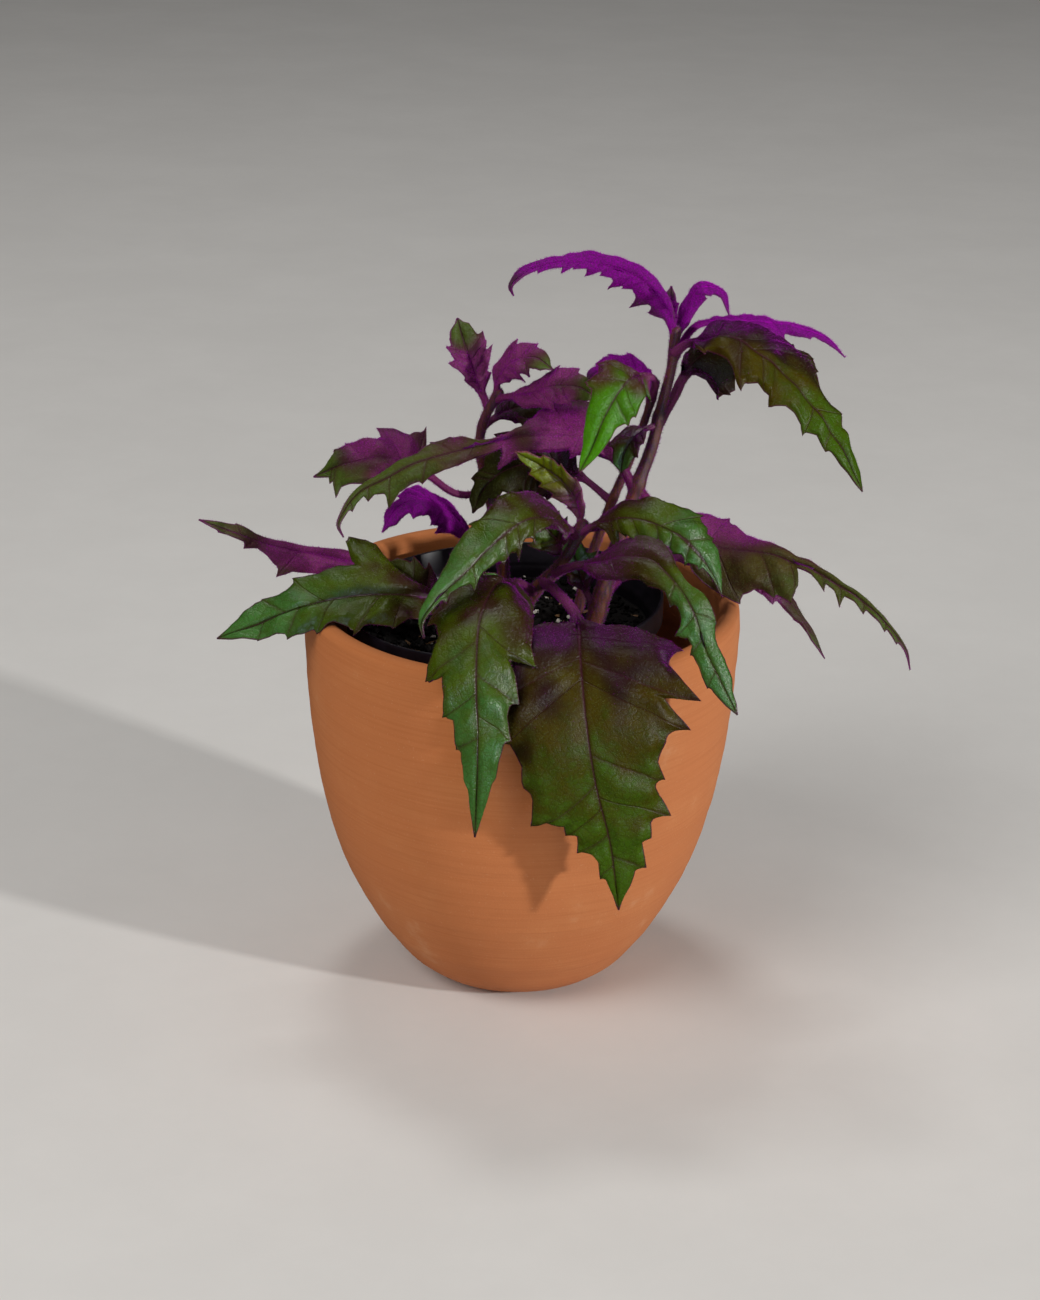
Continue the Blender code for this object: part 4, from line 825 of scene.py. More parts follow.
@dataclass(frozen=True)
class LeafFinish:
    """Living leaf skin: a thin, slightly waxy cuticle under short violet hairs.

    The cuticle gives a soft gloss on lobes and folds, and the hairs a violet bloom that is strongest
    towards the blade's base. Young leaves have hairs dense enough for a velvet sheen at grazing angles.
    """

    tone: Tone
    body: str
    shade: str
    tip: str
    dusk: str
    bloom: str
    roughness: float
    gloss: float
    vein: str = "401828"
    margin: str = "4a1030"
    under: str = "3d1236"
    petiole: str = "6e2f55"
    # Pale specks on the grain: bases of the pale hairs, and painted highlight glints.
    fleck_and_glint: str = "7f9a5a"
    sheen: float = 0.0
    sheen_tint: str = "ffffff"
    # How much of the skin the densest hairs hide, and how rough it is where they hide all of it.
    film: float = 0.5
    film_roughness: float = 0.5
    # Sizes in millimetres: patches of colour, net of the smallest veins, and hair bases.
    patch_size: float = 9.0
    net_size: float = 2.6
    grain_size: float = 0.6

    def make(self) -> bpy.types.Material:
        """Builds the material.

        Returns:
            The material.
        """
        made, tree, shader, place = new_material(
            "leaf_skin_" + self.tone.value, self.roughness,
            {"IOR": 1.45, "Specular IOR Level": self.gloss, "Sheen Weight": self.sheen,
             "Sheen Roughness": 0.35, "Sheen Tint": linear(self.sheen_tint)})
        read = {name: node(tree, "ShaderNodeAttribute", attribute_name=name).outputs["Fac"]
                for name in ("along", "rib_mm", "vein_mm", "edge_mm", "under", "bloom", "dusk")}
        read["patches"] = node(tree, "ShaderNodeTexNoise",
                               {"Vector": place, "Scale": per_metre(self.patch_size), "Detail": 3.0,
                                "Roughness": 0.6}).outputs["Fac"]
        read["grain"] = node(tree, "ShaderNodeTexNoise",
                             {"Vector": place, "Scale": per_metre(self.grain_size), "Detail": 2.0,
                              "Roughness": 0.7}).outputs["Fac"]
        read["net"] = node(tree, "ShaderNodeTexVoronoi",
                           {"Vector": place, "Scale": per_metre(self.net_size)},
                           feature="DISTANCE_TO_EDGE").outputs["Distance"]
        read["ripe"] = node(tree, "ShaderNodeMath", {0: read["along"], 1: read["patches"]},
                            operation="ADD").outputs[0]
        # Each share rises or falls with one reading, between two of its values.
        shares = {}
        for name, source, start, end, low, high in (
                ("dull", "patches", 0.42, 0.66, 0.0, 0.75),
                ("to_tip", "ripe", 0.75, 1.35, 0.0, 1.0),
                ("halo", "vein_mm", 0.0, 2.2, 0.35, 0.0),
                ("rib_halo", "rib_mm", 0.2, 3.0, 0.55, 0.0),
                ("net", "net", 0.0, 0.12, 0.25, 0.0),
                # Pale specks: real pale hair bases, and painted highlight glints on the hair grain.
                ("fleck_and_glint", "grain", 0.58, 0.74, 0.0, 0.22),
                ("dusk", "dusk", 0.0, 1.0, 0.0, 0.9),
                ("vein", "vein_mm", 0.1, 0.5, 0.32, 0.0),
                ("rib", "rib_mm", 0.25, 0.75, 0.75, 0.0),
                ("speck", "grain", 0.4, 0.64, 0.35 * self.film, self.film),
                ("edge", "edge_mm", 0.12, 0.6, 0.85, 0.0),
                ("petiole", "along", -0.10, 0.0, 1.0, 0.0)):
            shares[name] = node(tree, "ShaderNodeMapRange",
                                {"Value": read[source], "From Min": start, "From Max": end,
                                 "To Min": low, "To Max": high},
                                interpolation_type="SMOOTHSTEP").outputs[0]
        film = node(tree, "ShaderNodeMath", {0: read["bloom"], 1: shares["speck"]},
                    operation="MULTIPLY").outputs[0]
        colour = layered(tree, self.body, (
            (shares["dull"], self.shade), (shares["to_tip"], self.tip), (shares["halo"], self.shade),
            (shares["rib_halo"], self.shade), (shares["net"], self.shade), (shares["fleck_and_glint"], self.fleck_and_glint),
            (shares["dusk"], self.dusk), (shares["vein"], self.vein), (shares["rib"], self.vein),
            (film, self.bloom), (shares["edge"], self.margin), (read["under"], self.under),
            (shares["petiole"], self.petiole)))
        tree.links.new(colour, shader.inputs["Base Color"])
        rough = node(tree, "ShaderNodeMapRange",
                     {"Value": film, "From Min": 0.0, "From Max": 1.0, "To Min": self.roughness,
                      "To Max": self.film_roughness}).outputs[0]
        tree.links.new(rough, shader.inputs["Roughness"])
        # Heights in millimetres: sunken side veins, the net between them, hair bases and a sunken rib.
        height = 0.0
        for source, start, end, low, high in (
                ("vein_mm", 0.0, 1.1, -0.22, 0.0), ("net", 0.0, 0.25, -0.08, 0.0),
                ("grain", 0.3, 0.75, -0.05, 0.05), ("rib_mm", 0.0, 1.2, -0.3, 0.0)):
            step = node(tree, "ShaderNodeMapRange",
                        {"Value": read[source], "From Min": start, "From Max": end, "To Min": low,
                         "To Max": high}, interpolation_type="SMOOTHSTEP").outputs[0]
            height = node(tree, "ShaderNodeMath", {0: height, 1: step}, operation="ADD").outputs[0]
        bump = node(tree, "ShaderNodeBump", {"Height": height, "Distance": MM, "Strength": 0.9})
        tree.links.new(bump.outputs["Normal"], shader.inputs["Normal"])
        return made


LEAF_FINISHES = (
    LeafFinish(Tone.VIOLET, body="4c2c3a", shade="3a142e", tip="4c542c", dusk="4c1a46", bloom="880490",
               margin="6a2a62", under="5a0862", petiole="7c0c78", roughness=0.5, sheen=0.8,
               sheen_tint="e000e4", gloss=0.05, film=0.95),
    LeafFinish(Tone.MAUVE, body="4a4018", shade="3c2418", tip="44561a", dusk="4c2430", bloom="8c2c78",
               margin="6a1c5c", under="4e0a50", petiole="6a2450", roughness=0.36, sheen=0.3,
               sheen_tint="d818d0", gloss=0.2, film=0.75),
    LeafFinish(Tone.LIME, body="6a6a04", shade="544402", tip="6c8006", dusk="543432", bloom="741058",
               margin="7c1e4e", petiole="7a2454", roughness=0.3, gloss=0.6),
    LeafFinish(Tone.BRIGHT, body="407604", shade="385406", tip="4a8e06", dusk="442416", bloom="5a1044",
               margin="6e1850", roughness=0.3, gloss=0.35),
    # The green tone's tip is greener than its base and also bluer than its own green: a painted blue-white
    # reflection on the tips.
    LeafFinish(Tone.GREEN, body="425203", shade="382a02", tip="3e6c2c", dusk="341c0c", bloom="4a1040",
               roughness=0.27, gloss=0.6),
    LeafFinish(Tone.OLIVE, body="443a02", shade="341e02", tip="3e5c0a", dusk="281014", bloom="480048",
               roughness=0.32, gloss=0.24, film=0.85),
    LeafFinish(Tone.DARK, body="2a1c08", shade="1e1206", tip="2e300a", dusk="2a1616", bloom="44123c",
               roughness=0.4, gloss=0.2),
)


@dataclass(frozen=True)
class HairFinish:
    """Leaf hair: rows of clear cells, with violet sap or none, that catch light like velvet pile."""

    name: str
    colour: str
    roughness: float = 0.45
    gloss: float = 0.3

    def make(self) -> bpy.types.Material:
        """Builds the material, in one plain colour because each hair is thinner than a pixel.

        Returns:
            The material.
        """
        made, _, shader, _ = new_material(self.name, self.roughness, {"Specular IOR Level": self.gloss})
        shader.inputs["Base Color"].default_value = linear(self.colour)
        return made


VIOLET_HAIR = HairFinish("violet_leaf_hair", "b010b6")
PALE_HAIR = HairFinish("pale_leaf_hair", "5c6c34")


@dataclass(frozen=True)
class StemFinish:
    """Soft stem turning woody: brown skin with dark violet streaks along it, and a violet fuzz."""

    skin: str = "6e3e1c"
    young: str = "5c3028"
    streak: str = "42222c"
    fuzz: str = "c030c8"
    roughness: float = 0.55
    # Sizes in millimetres.
    streak_width: float = 0.9
    streak_length: float = 9.0
    streak_height: float = 0.3

    def make(self) -> bpy.types.Material:
        """Builds the material.

        Returns:
            The material.
        """
        made, tree, shader, place = new_material("hairy_stem_skin", self.roughness,
                                                 {"Sheen Weight": 0.4, "Sheen Tint": linear(self.fuzz)})
        young = node(tree, "ShaderNodeAttribute", attribute_name="young").outputs["Fac"]
        stretched = node(tree, "ShaderNodeMapping",
                         {"Vector": place, "Scale": (per_metre(self.streak_width),) * 2
                          + (per_metre(self.streak_length),)}).outputs[0]
        streaks = node(tree, "ShaderNodeTexNoise",
                       {"Vector": stretched, "Scale": 1.0, "Detail": 4.0}).outputs["Fac"]
        share = node(tree, "ShaderNodeMapRange",
                     {"Value": streaks, "From Min": 0.42, "From Max": 0.62}).outputs[0]
        colour = layered(tree, self.skin, ((young, self.young), (share, self.streak)))
        tree.links.new(colour, shader.inputs["Base Color"])
        bump = node(tree, "ShaderNodeBump",
                    {"Height": streaks, "Distance": self.streak_height * MM, "Strength": 0.7})
        tree.links.new(bump.outputs["Normal"], shader.inputs["Normal"])
        return made


@dataclass(frozen=True)
class TerracottaFinish:
    """Terracotta: low-fired, unglazed red clay thrown on a wheel.

    It is dull and slightly dusty, with fine level lines from the wheel, pale mineral bloom where water
    dried, and small dark and pale grains.
    """

    clay: str = "c47642"
    pale_clay: str = "ca804b"
    deep_clay: str = "ba6b38"
    bloom: str = "d3a077"
    roughness: float = 0.88
    # Sizes in millimetres.
    line_height: float = 0.8
    line_length: float = 45.0
    bloom_size: float = 26.0
    grain_size: float = 0.7
    relief: float = 0.16

    def make(self) -> bpy.types.Material:
        """Builds the material.

        Returns:
            The material.
        """
        made, tree, shader, place = new_material("terracotta", self.roughness, {"IOR": 1.5})
        stretched = node(tree, "ShaderNodeMapping",
                         {"Vector": place, "Scale": (per_metre(self.line_length),) * 2
                          + (per_metre(self.line_height),)}).outputs[0]
        lines = node(tree, "ShaderNodeTexNoise",
                     {"Vector": stretched, "Scale": 1.0, "Detail": 3.0}).outputs["Fac"]
        broad = node(tree, "ShaderNodeTexNoise",
                     {"Vector": place, "Scale": per_metre(self.bloom_size), "Detail": 5.0,
                      "Roughness": 0.62}).outputs["Fac"]
        grain = node(tree, "ShaderNodeTexNoise",
                     {"Vector": place, "Scale": per_metre(self.grain_size), "Detail": 2.0}).outputs["Fac"]
        # Each colour comes in as its pattern rises between two values, up to the last number's share.
        layers = []
        for source, start, end, high, over in (
                (broad, 0.45, 0.75, 0.7, self.pale_clay), (lines, 0.4, 0.75, 0.5, self.deep_clay),
                (broad, 0.62, 0.74, 0.3, self.bloom), (grain, 0.66, 0.74, 0.35, self.bloom)):
            share = node(tree, "ShaderNodeMapRange",
                         {"Value": source, "From Min": start, "From Max": end, "To Min": 0.0,
                          "To Max": high}, interpolation_type="SMOOTHSTEP").outputs[0]
            layers.append((share, over))
        tree.links.new(layered(tree, self.clay, layers), shader.inputs["Base Color"])
        height = node(tree, "ShaderNodeMath", {0: lines, 1: grain}, operation="ADD").outputs[0]
        bump = node(tree, "ShaderNodeBump",
                    {"Height": height, "Distance": self.relief * MM, "Strength": 0.5})
        tree.links.new(bump.outputs["Normal"], shader.inputs["Normal"])
        return made


@dataclass(frozen=True)
class GroundFinish:
    """A plain surface: two colours in patches of a size in millimetres, with as fine a relief.

    stretch makes the patches longer one way, as fibres are.
    """

    name: str
    colour: str
    other: str
    mark_size: float
    roughness: float
    relief: float
    stretch: float = 1.0
    gloss: float = 0.5

    def make(self) -> bpy.types.Material:
        """Builds the material.

        Returns:
            The material.
        """
        made, tree, shader, place = new_material(self.name, self.roughness,
                                                 {"Specular IOR Level": self.gloss})
        scaled = node(tree, "ShaderNodeMapping",
                      {"Vector": place, "Scale": (per_metre(self.mark_size * self.stretch),)
                       + (per_metre(self.mark_size),) * 2}).outputs[0]
        marks = node(tree, "ShaderNodeTexNoise",
                     {"Vector": scaled, "Scale": 1.0, "Detail": 5.0, "Roughness": 0.7}).outputs["Fac"]
        share = node(tree, "ShaderNodeMapRange",
                     {"Value": marks, "From Min": 0.4, "From Max": 0.68}).outputs[0]
        colour = layered(tree, self.colour, ((share, self.other),))
        tree.links.new(colour, shader.inputs["Base Color"])
        bump = node(tree, "ShaderNodeBump",
                    {"Height": marks, "Distance": self.relief * MM, "Strength": 0.8})
        tree.links.new(bump.outputs["Normal"], shader.inputs["Normal"])
        return made


# Milled peat, damp and with a dull glint. Its colour is darker than the peat's own: painted shade from the
# leaves over it.
POTTING_MIX = GroundFinish("potting_mix", "0f0a08", "060403", mark_size=1.6, roughness=0.95, relief=0.7,
                           gloss=0.3)
# Perlite: volcanic glass puffed up by heat, white under a powdery skin.
PERLITE = GroundFinish("perlite", "e6e0d4", "b5ac9c", mark_size=0.9, roughness=0.8, relief=0.25)
# Chipped bark: tan with darker fibres.
BARK = GroundFinish("bark_chip", "94704a", "5c402a", mark_size=0.8, roughness=0.8, relief=0.3, stretch=4.0)
# Moulded polypropylene: black with a faint violet-grey cast, dusty and a little scuffed.
BLACK_PLASTIC = GroundFinish("black_polypropylene", "100d12", "1c171e", mark_size=6.0, roughness=0.4,
                             relief=0.05)
# Matt painted studio floor.
FLOOR_PAINT = GroundFinish("pale_floor_paint", "dedbd6", "e2dfda", mark_size=120.0, roughness=0.9,
                           relief=0.05, gloss=0.0)


@dataclass
class Hairs:
    """Short pointed hairs over a skin made of rings. Sizes are in millimetres."""

    violet: bpy.types.Material
    pale: bpy.types.Material
    base_radius: float = 0.055
    root_depth: float = 0.05
    # How far a hair leans ahead, how unevenly hairs point, and how far up from the skin each one
    # points at least.
    lean: float = 0.5
    spread: float = 0.38
    least_rise: float = 0.35
    # Shortest and longest hair, as shares of the usual length.
    lengths: tuple = (0.55, 1.25)

    def grow(self, name: str, grid: np.ndarray, density: np.ndarray, bloom: np.ndarray, length: float,
             seed: int) -> bpy.types.Object:
        """Grows closed, pointed hairs at seeded places on a skin.

        Args:
            name: the piece's name.
            grid: the skin's points as rings, points in a ring and coordinates, in millimetres.
            density: hairs for each square millimetre, at each point of the grid.
            bloom: share of the hairs that are violet, at each point of the grid.
            length: usual length in millimetres.
            seed: picks the places.

        Returns:
            The piece.
        """
        source = np.random.default_rng(seed)
        normals = grid_normals(grid, True)
        forward = unit(np.gradient(grid, axis=0))

        def corners(values: np.ndarray) -> tuple:
            """A grid's values at the four corners of each cell."""
            beside = np.roll(values, -1, axis=1)
            return values[:-1], beside[:-1], values[1:], beside[1:]

        first, second, third, fourth = corners(grid)
        area = 0.5 * np.linalg.norm(np.cross(fourth - first, third - second), axis=-1)
        wanted = (area * sum(corners(density)) / 4.0).ravel()
        count = int(wanted.sum())
        cell = source.choice(len(wanted), count, p=wanted / wanted.sum())
        one, two = source.random((count, 1)), source.random((count, 1))
        weights = ((1 - one) * (1 - two), (1 - one) * two, one * (1 - two), one * two)

        def blend(values: np.ndarray) -> np.ndarray:
            """A grid's values at the hairs' places."""
            parts = [part.reshape(len(wanted), -1)[cell] for part in corners(values)]
            return sum(weight * part for weight, part in zip(weights, parts))

        root, out, ahead = blend(grid), unit(blend(normals)), unit(blend(forward))
        way = unit(out + self.lean * ahead + self.spread * source.normal(size=(count, 3)))
        # A hair never leans back into the skin.
        rise = np.sum(way * out, axis=1, keepdims=True)
        way = unit(way + np.maximum(0.0, self.least_rise - rise) * out)
        long = length * source.uniform(*self.lengths, size=(count, 1))
        side = square_to(np.roll(way, 1, axis=1) + 0.01, way)
        other_side = np.cross(way, side)
        # Each hair is a slim pyramid: three points in the skin and its tip.
        points = np.empty((count, 4, 3))
        for index, turn in enumerate((0.0, 2.0 * math.pi / 3.0, 4.0 * math.pi / 3.0)):
            points[:, index] = root - self.root_depth * out + self.base_radius * (
                math.cos(turn) * side + math.sin(turn) * other_side)
        points[:, 3] = root + way * long
        start = 4 * np.arange(count)[:, None]
        sides = ((0, 1, 3), (1, 2, 3), (2, 0, 3), (0, 2, 1))
        faces = np.concatenate([start + np.array(face) for face in sides], axis=1).reshape(-1, 3)
        piece = mesh_piece(name, points.reshape(-1, 3), faces.tolist(), self.violet)
        piece.data.materials.append(self.pale)
        is_pale = source.random(count) > blend(bloom[..., None])[:, 0]
        piece.data.polygons.foreach_set("material_index", np.repeat(is_pale.astype(np.int32), len(sides)))
        return piece


@dataclass
class LeafPiece:
    """One leaf with its petiole, as a thin skin with teeth, veins, a rib below and a rolled margin.

    Sizes are in millimetres.
    """

    leaf: Leaf
    finish: bpy.types.Material
    hairs: Hairs
    seed: int
    blade_thick: float = 0.42
    column_step: float = 1.3
    row_step: float = 1.05
    petiole_step: float = 2.4
    # Swelling between two side veins, as a share of the room between them.
    quilting: float = 0.15
    # The groove over the midrib.
    groove_depth: float = 0.45
    groove_width: float = 1.1
    # How far the margin rolls down, as a share of the half width.
    roll: float = 0.055
    # Heights of the unevenness over the whole blade and along its margin.
    broad_wave: float = 0.6
    edge_wave: float = 0.75
    # How far the side veins bend back towards the midrib's base, as a share of the half width.
    vein_bow: float = 0.3
    # Hairs on a square millimetre of blade, with what the violet bloom and the dusk round it add, and
    # of petiole.
    blade_hairs: float = 0.55
    bloom_hairs: float = 2.0
    dusk_hairs: float = 0.4
    petiole_hairs: float = 3.4
    # How many times as many grow on the underside, and along the margin for this width.
    under_times: float = 0.5
    edge_times: float = 3.0
    edge_width: float = 0.35
    # Usual length of hairs on young and on grown leaves.
    young_hair: float = 0.85
    grown_hair: float = 0.6

    def build(self) -> int:
        """Makes the leaf's skin and its hairs.

        Returns:
            How many triangles they have.
        """
        leaf = self.leaf
        path, blade_start = natural_path(leaf)
        upper, lower, values = self.blade(path, blade_start)
        blade = np.concatenate((upper, lower[:, ::-1]), axis=1)
        rings, values = self.with_petiole(path, blade_start, blade, values)
        rows, count = rings.shape[:2]
        short = leaf.name.removeprefix("leaf_")
        skin = mesh_piece("skin_" + short, rings, ring_faces(rows, count), self.finish)
        give_values(skin, values)
        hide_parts(leaf.name)
        is_young = leaf.tone in (Tone.VIOLET, Tone.MAUVE, Tone.LIME)
        on_petiole = values["along"] < 0.0
        is_edge = values["edge_mm"] < self.edge_width
        density = self.blade_hairs + self.bloom_hairs * values["bloom"] + self.dusk_hairs * values["dusk"]
        density *= np.where(values["under"] > 0.5, self.under_times, 1.0)
        density = np.where(on_petiole, self.petiole_hairs, density) * np.where(is_edge, self.edge_times, 1.0)
        # Hairs are violet in the bloom and on the petiole, and some are along the margin and below.
        share = values["bloom"] + 0.12 * values["dusk"] + 0.5 * is_edge + 0.35 * values["under"]
        share = np.where(on_petiole, 0.85, np.clip(share, 0.0, 1.0))
        length = self.young_hair if is_young else self.grown_hair
        fuzz = self.hairs.grow("hairs_" + short, rings, density, share, length, self.seed)
        return 2 * len(skin.data.polygons) + len(fuzz.data.polygons)

    def half_width(self, share: np.ndarray) -> np.ndarray:
        """Half width of the plain outline at shares of the blade, in millimetres."""
        at, width = (np.array(part) for part in zip(*OUTLINES[self.leaf.outline]))
        shape = curve_through(at, width, np.asarray(share, dtype=float))
        return 0.5 * self.leaf.width * np.maximum(shape, 0.0)

    def margin(self, side: int, source: np.random.Generator) -> np.ndarray:
        """The points of one margin: tips and hollows of its teeth, as (share, reach in millimetres).

        Args:
            side: -1 for left and 1 for right.
            source: gives each tooth its own size and place.

        Returns:
            The points from base to tip.
        """
        leaf = self.leaf
        measured = EDGES.get(leaf.name)
        if measured:
            return np.array(measured[0 if side < 0 else 1], dtype=float)
        wide = (leaf.left if side < 0 else leaf.right)[2]
        step = TEETH_END / leaf.teeth
        points = [(0.0, float(self.half_width(0.0)) * wide)]
        for tooth in range(leaf.teeth):
            place = (tooth + 0.5) * step + source.normal(0.0, 0.05) * step
            tip = float(self.half_width(place)) * wide * source.normal(1.0, 0.035)
            before, hollow = points[-1]
            gap = place - before
            # A small tooth stands before three in four of those that leave room for it.
            if tooth > 0 and gap * leaf.width > 0.9 and source.random() < 0.75:
                middle = hollow + (tip - hollow) * 0.4
                early = before + 0.45 * gap
                rise = leaf.tooth_depth * float(self.half_width(early)) * source.uniform(0.1, 0.28)
                points.append((early, middle + rise))
                points.append((before + 0.55 * gap, middle + 0.1 * (tip - hollow)))
            points.append((place, tip))
            low = place + step * source.uniform(0.22, 0.38)
            deep = leaf.tooth_depth * source.uniform(0.9, 1.5)
            if low < TEETH_END:
                points.append((low, float(self.half_width(low)) * wide * (1.0 - deep)))
        points.append((1.0, 0.3))
        return np.array(points)

    def blade(self, path: Ribbon, blade_start: float) -> tuple:
        """The blade's upper and lower points, row by row, and what the material reads at each.

        Args:
            path: the leaf's curve.
            blade_start: distance along it at which the blade begins.

        Returns:
            Upper points, lower points, and named values for both.
        """
        leaf = self.leaf
        source = np.random.default_rng(self.seed)
        blade = path.length - blade_start
        margins = [self.margin(side, source) for side in (-1, 1)]
        share = row_places(margins, blade, self.row_step)
        half = np.maximum(self.half_width(share), 0.3)[:, None]
        steps = int(np.clip(round(0.5 * leaf.width / self.column_step), 8, 24))
        one_side = np.concatenate(([0.0, 0.03, 0.075], np.linspace(0.075, 0.93, steps)[1:], [0.975, 1.0]))
        across = np.concatenate((-one_side[:0:-1], one_side))
        away, sign, is_left = np.abs(across), np.where(across < 0.0, -1.0, 1.0), across < 0.0
        sides = [read_margin(points, share, blade) for points in margins]
        edge, hook, vein, fullness = (np.where(is_left, left[:, None], right[:, None])
                                      for left, right in zip(*sides))
        wide = np.where(is_left, leaf.left[2], leaf.right[2])
        share = share[:, None]
        near_edge = smooth(away, 0.45, 1.0)
        plain = half * wide
        # Teeth shape the outer part of the blade alone, except that a hollow keeps the rest from
        # reaching much past it.
        reach = away * (plain + (edge - plain) * near_edge)
        inner = np.minimum(plain, edge * 1.25)
        reach = np.where(plain > edge, away * (inner + (edge - inner) * near_edge), reach)
        sheet = self.lay(path, blade_start, share, reach, hook * smooth(away, 0.6, 1.0), sign)
        # Relief: the blade swells between its sunken veins, its margin rolls down, and all of it is
        # uneven. It is lower where the blade is narrow.
        scale = np.minimum(1.0, half / 8.0)
        relief = self.quilting * fullness * smooth(away, 0.02, 0.3) * (1.0 - smooth(away, 0.75, 1.0)) * scale
        groove = self.groove_depth * np.exp(-(reach / self.groove_width) ** 2)
        relief = relief - groove * np.minimum(1.0, half / 5.0) * (1.0 - 0.8 * share)
        curl = 1.0 + 0.6 * ripples(sheet, 16.0, self.seed + 3)
        relief = relief - self.roll * half * smooth(away, 0.68, 1.0) ** 2 * curl
        relief = relief + self.broad_wave * ripples(sheet, 17.0, self.seed) * scale
        relief = relief + self.edge_wave * ripples(sheet, 8.0, self.seed + 1) * near_edge * scale
        sheet = sheet + relief[..., None] * grid_normals(sheet, False)
        normals = grid_normals(sheet, False)
        thick = self.blade_thick * (1.0 - 0.45 * smooth(away, 0.9, 1.0)) * np.minimum(1.0, half / 2.0 + 0.4)
        rib_wide = 0.35 + 0.9 * leaf.petiole_radius * (1.0 - 0.8 * share)
        rib = (0.25 + 1.5 * leaf.petiole_radius * (1.0 - share) ** 1.5) * np.exp(-(reach / rib_wide) ** 2)
        rib = rib * np.minimum(1.0, half / 2.0)
        upper = sheet + 0.5 * thick[..., None] * normals
        lower = sheet - (0.5 * thick + rib)[..., None] * normals
        ripe = share + 0.09 * ripples(sheet, 14.0, self.seed + 2) + leaf.violet_tilt * across
        # Violet hairs are sparse on the teeth, and the mark along the rib narrows towards the tip.
        tooth = smooth(reach / np.maximum(plain, 1.0), 0.85, 1.3)
        both = {"along": np.broadcast_to(share, reach.shape), "rib_mm": reach / (1.05 - 0.8 * share),
                "vein_mm": vein, "edge_mm": edge * (1.0 - away),
                "bloom": (1.0 - smooth(ripe, leaf.violet - 0.1, leaf.violet + 0.12)) * (1.0 - 0.8 * tooth),
                "dusk": (1.0 - smooth(ripe, leaf.violet, leaf.violet + 0.35)) * (1.0 - 0.5 * tooth)}
        values = {name: np.concatenate((value, value[:, ::-1]), axis=1) for name, value in both.items()}
        values["under"] = np.concatenate((np.zeros_like(reach), np.ones_like(reach)), axis=1)
        return upper, lower, values

    def lay(self, path: Ribbon, blade_start: float, share: np.ndarray, reach: np.ndarray,
            forward: np.ndarray, sign: np.ndarray) -> np.ndarray:
        """Bends a flat blade to its curve, folds and wave.

        Args:
            path: the leaf's curve.
            blade_start: distance along it at which the blade begins.
            share: place of each row, as a column.
            reach: distance from the midrib over the blade, in millimetres, for each row and column.
            forward: how far a point is pushed towards the tip.
            sign: -1 for the columns on the left and 1 for the others.

        Returns:
            The blade's middle surface.
        """
        leaf = self.leaf
        half = np.maximum(self.half_width(share[:, 0]), 0.3)[:, None]
        fold, bend, wide = np.array([leaf.left if value < 0.0 else leaf.right for value in sign]).T
        away = np.clip(reach / (half * wide), 0.0, 1.3)
        # Each row of points sweeps forward and bows, as the side veins do.
        sweep = VEIN_SWEEP * (np.minimum(1.0, 4.0 * share) - 0.6 * share) - 0.05
        bow = self.vein_bow * half * np.maximum(0.0, 1.0 - away) ** 1.5 * np.minimum(1.0, 3.0 * share)
        place = blade_start + (path.length - blade_start) * share + sweep * reach + forward - bow
        # The folds set in over the blade's first part and ease off towards its tip.
        folds = (fold + bend * smooth(away, 0.2, 0.8)) * np.minimum(1.0, 0.3 + 5.0 * share)
        angle = np.radians(folds * (1.0 - 0.45 * smooth(share, 0.7, 1.0)))
        middle = int(np.argmin(reach[0]))
        out, rise = np.zeros_like(reach), np.zeros_like(reach)
        for step in (1, -1):
            for index in range(middle + step, reach.shape[1] if step > 0 else -1, step):
                wider = reach[:, index] - reach[:, index - step]
                out[:, index] = out[:, index - step] + wider * np.cos(angle[:, index])
                rise[:, index] = rise[:, index - step] + wider * np.sin(angle[:, index])
        along, up = path.along(place), path.up(place)
        swell = leaf.wave * np.sin(2.0 * math.pi * (2.2 * share + 0.25 * sign)) * np.minimum(1.0, half / 8.0)
        rise = rise + swell * np.minimum(away, 1.0) ** 2
        return path.at(place) + (sign * out)[..., None] * np.cross(along, up) + rise[..., None] * up

    def with_petiole(self, path: Ribbon, blade_start: float, blade: np.ndarray, values: dict) -> tuple:
        """Adds the petiole's rings before the blade's.

        Args:
            path: the leaf's curve.
            blade_start: distance along it at which the blade begins.
            blade: the blade's rings.
            values: what the material reads on the blade.

        Returns:
            All rings, and the values on all of them.
        """
        leaf = self.leaf
        count = max(4, round(blade_start / self.petiole_step))
        places = np.linspace(0.0, blade_start, count, endpoint=False)
        half_count = blade.shape[1] // 2
        turn = math.pi * (1.0 - (np.arange(half_count) + 0.5) / half_count)
        turn = np.concatenate((turn, -turn[::-1]))
        # A shallow channel runs along the petiole's upper side.
        channel = 1.0 - 0.16 * np.exp(-((turn - math.pi / 2.0) / 0.45) ** 2)
        radius = leaf.petiole_radius * (1.0 + 0.4 * np.exp(-np.maximum(0.0, places - 1.5) / 2.6))
        sideways = np.cross(path.along(blade_start), path.up(blade_start))
        off = blade[0] - path.at(blade_start)
        flat = [off @ sideways, off @ path.up(blade_start), off @ path.along(blade_start)]
        merge = smooth(places, blade_start - 5.5, blade_start)[:, None]
        wide = radius[:, None] * np.cos(turn) * channel * (1.0 - merge) + merge * flat[0]
        high = radius[:, None] * np.sin(turn) * channel * (1.0 - merge) + merge * flat[1]
        along, up = path.along(places)[:, None], path.up(places)[:, None]
        rings = (path.at(places)[:, None] + wide[..., None] * np.cross(along, up) + high[..., None] * up
                 + (merge * flat[2])[..., None] * along)
        rings = np.concatenate((rings, blade))
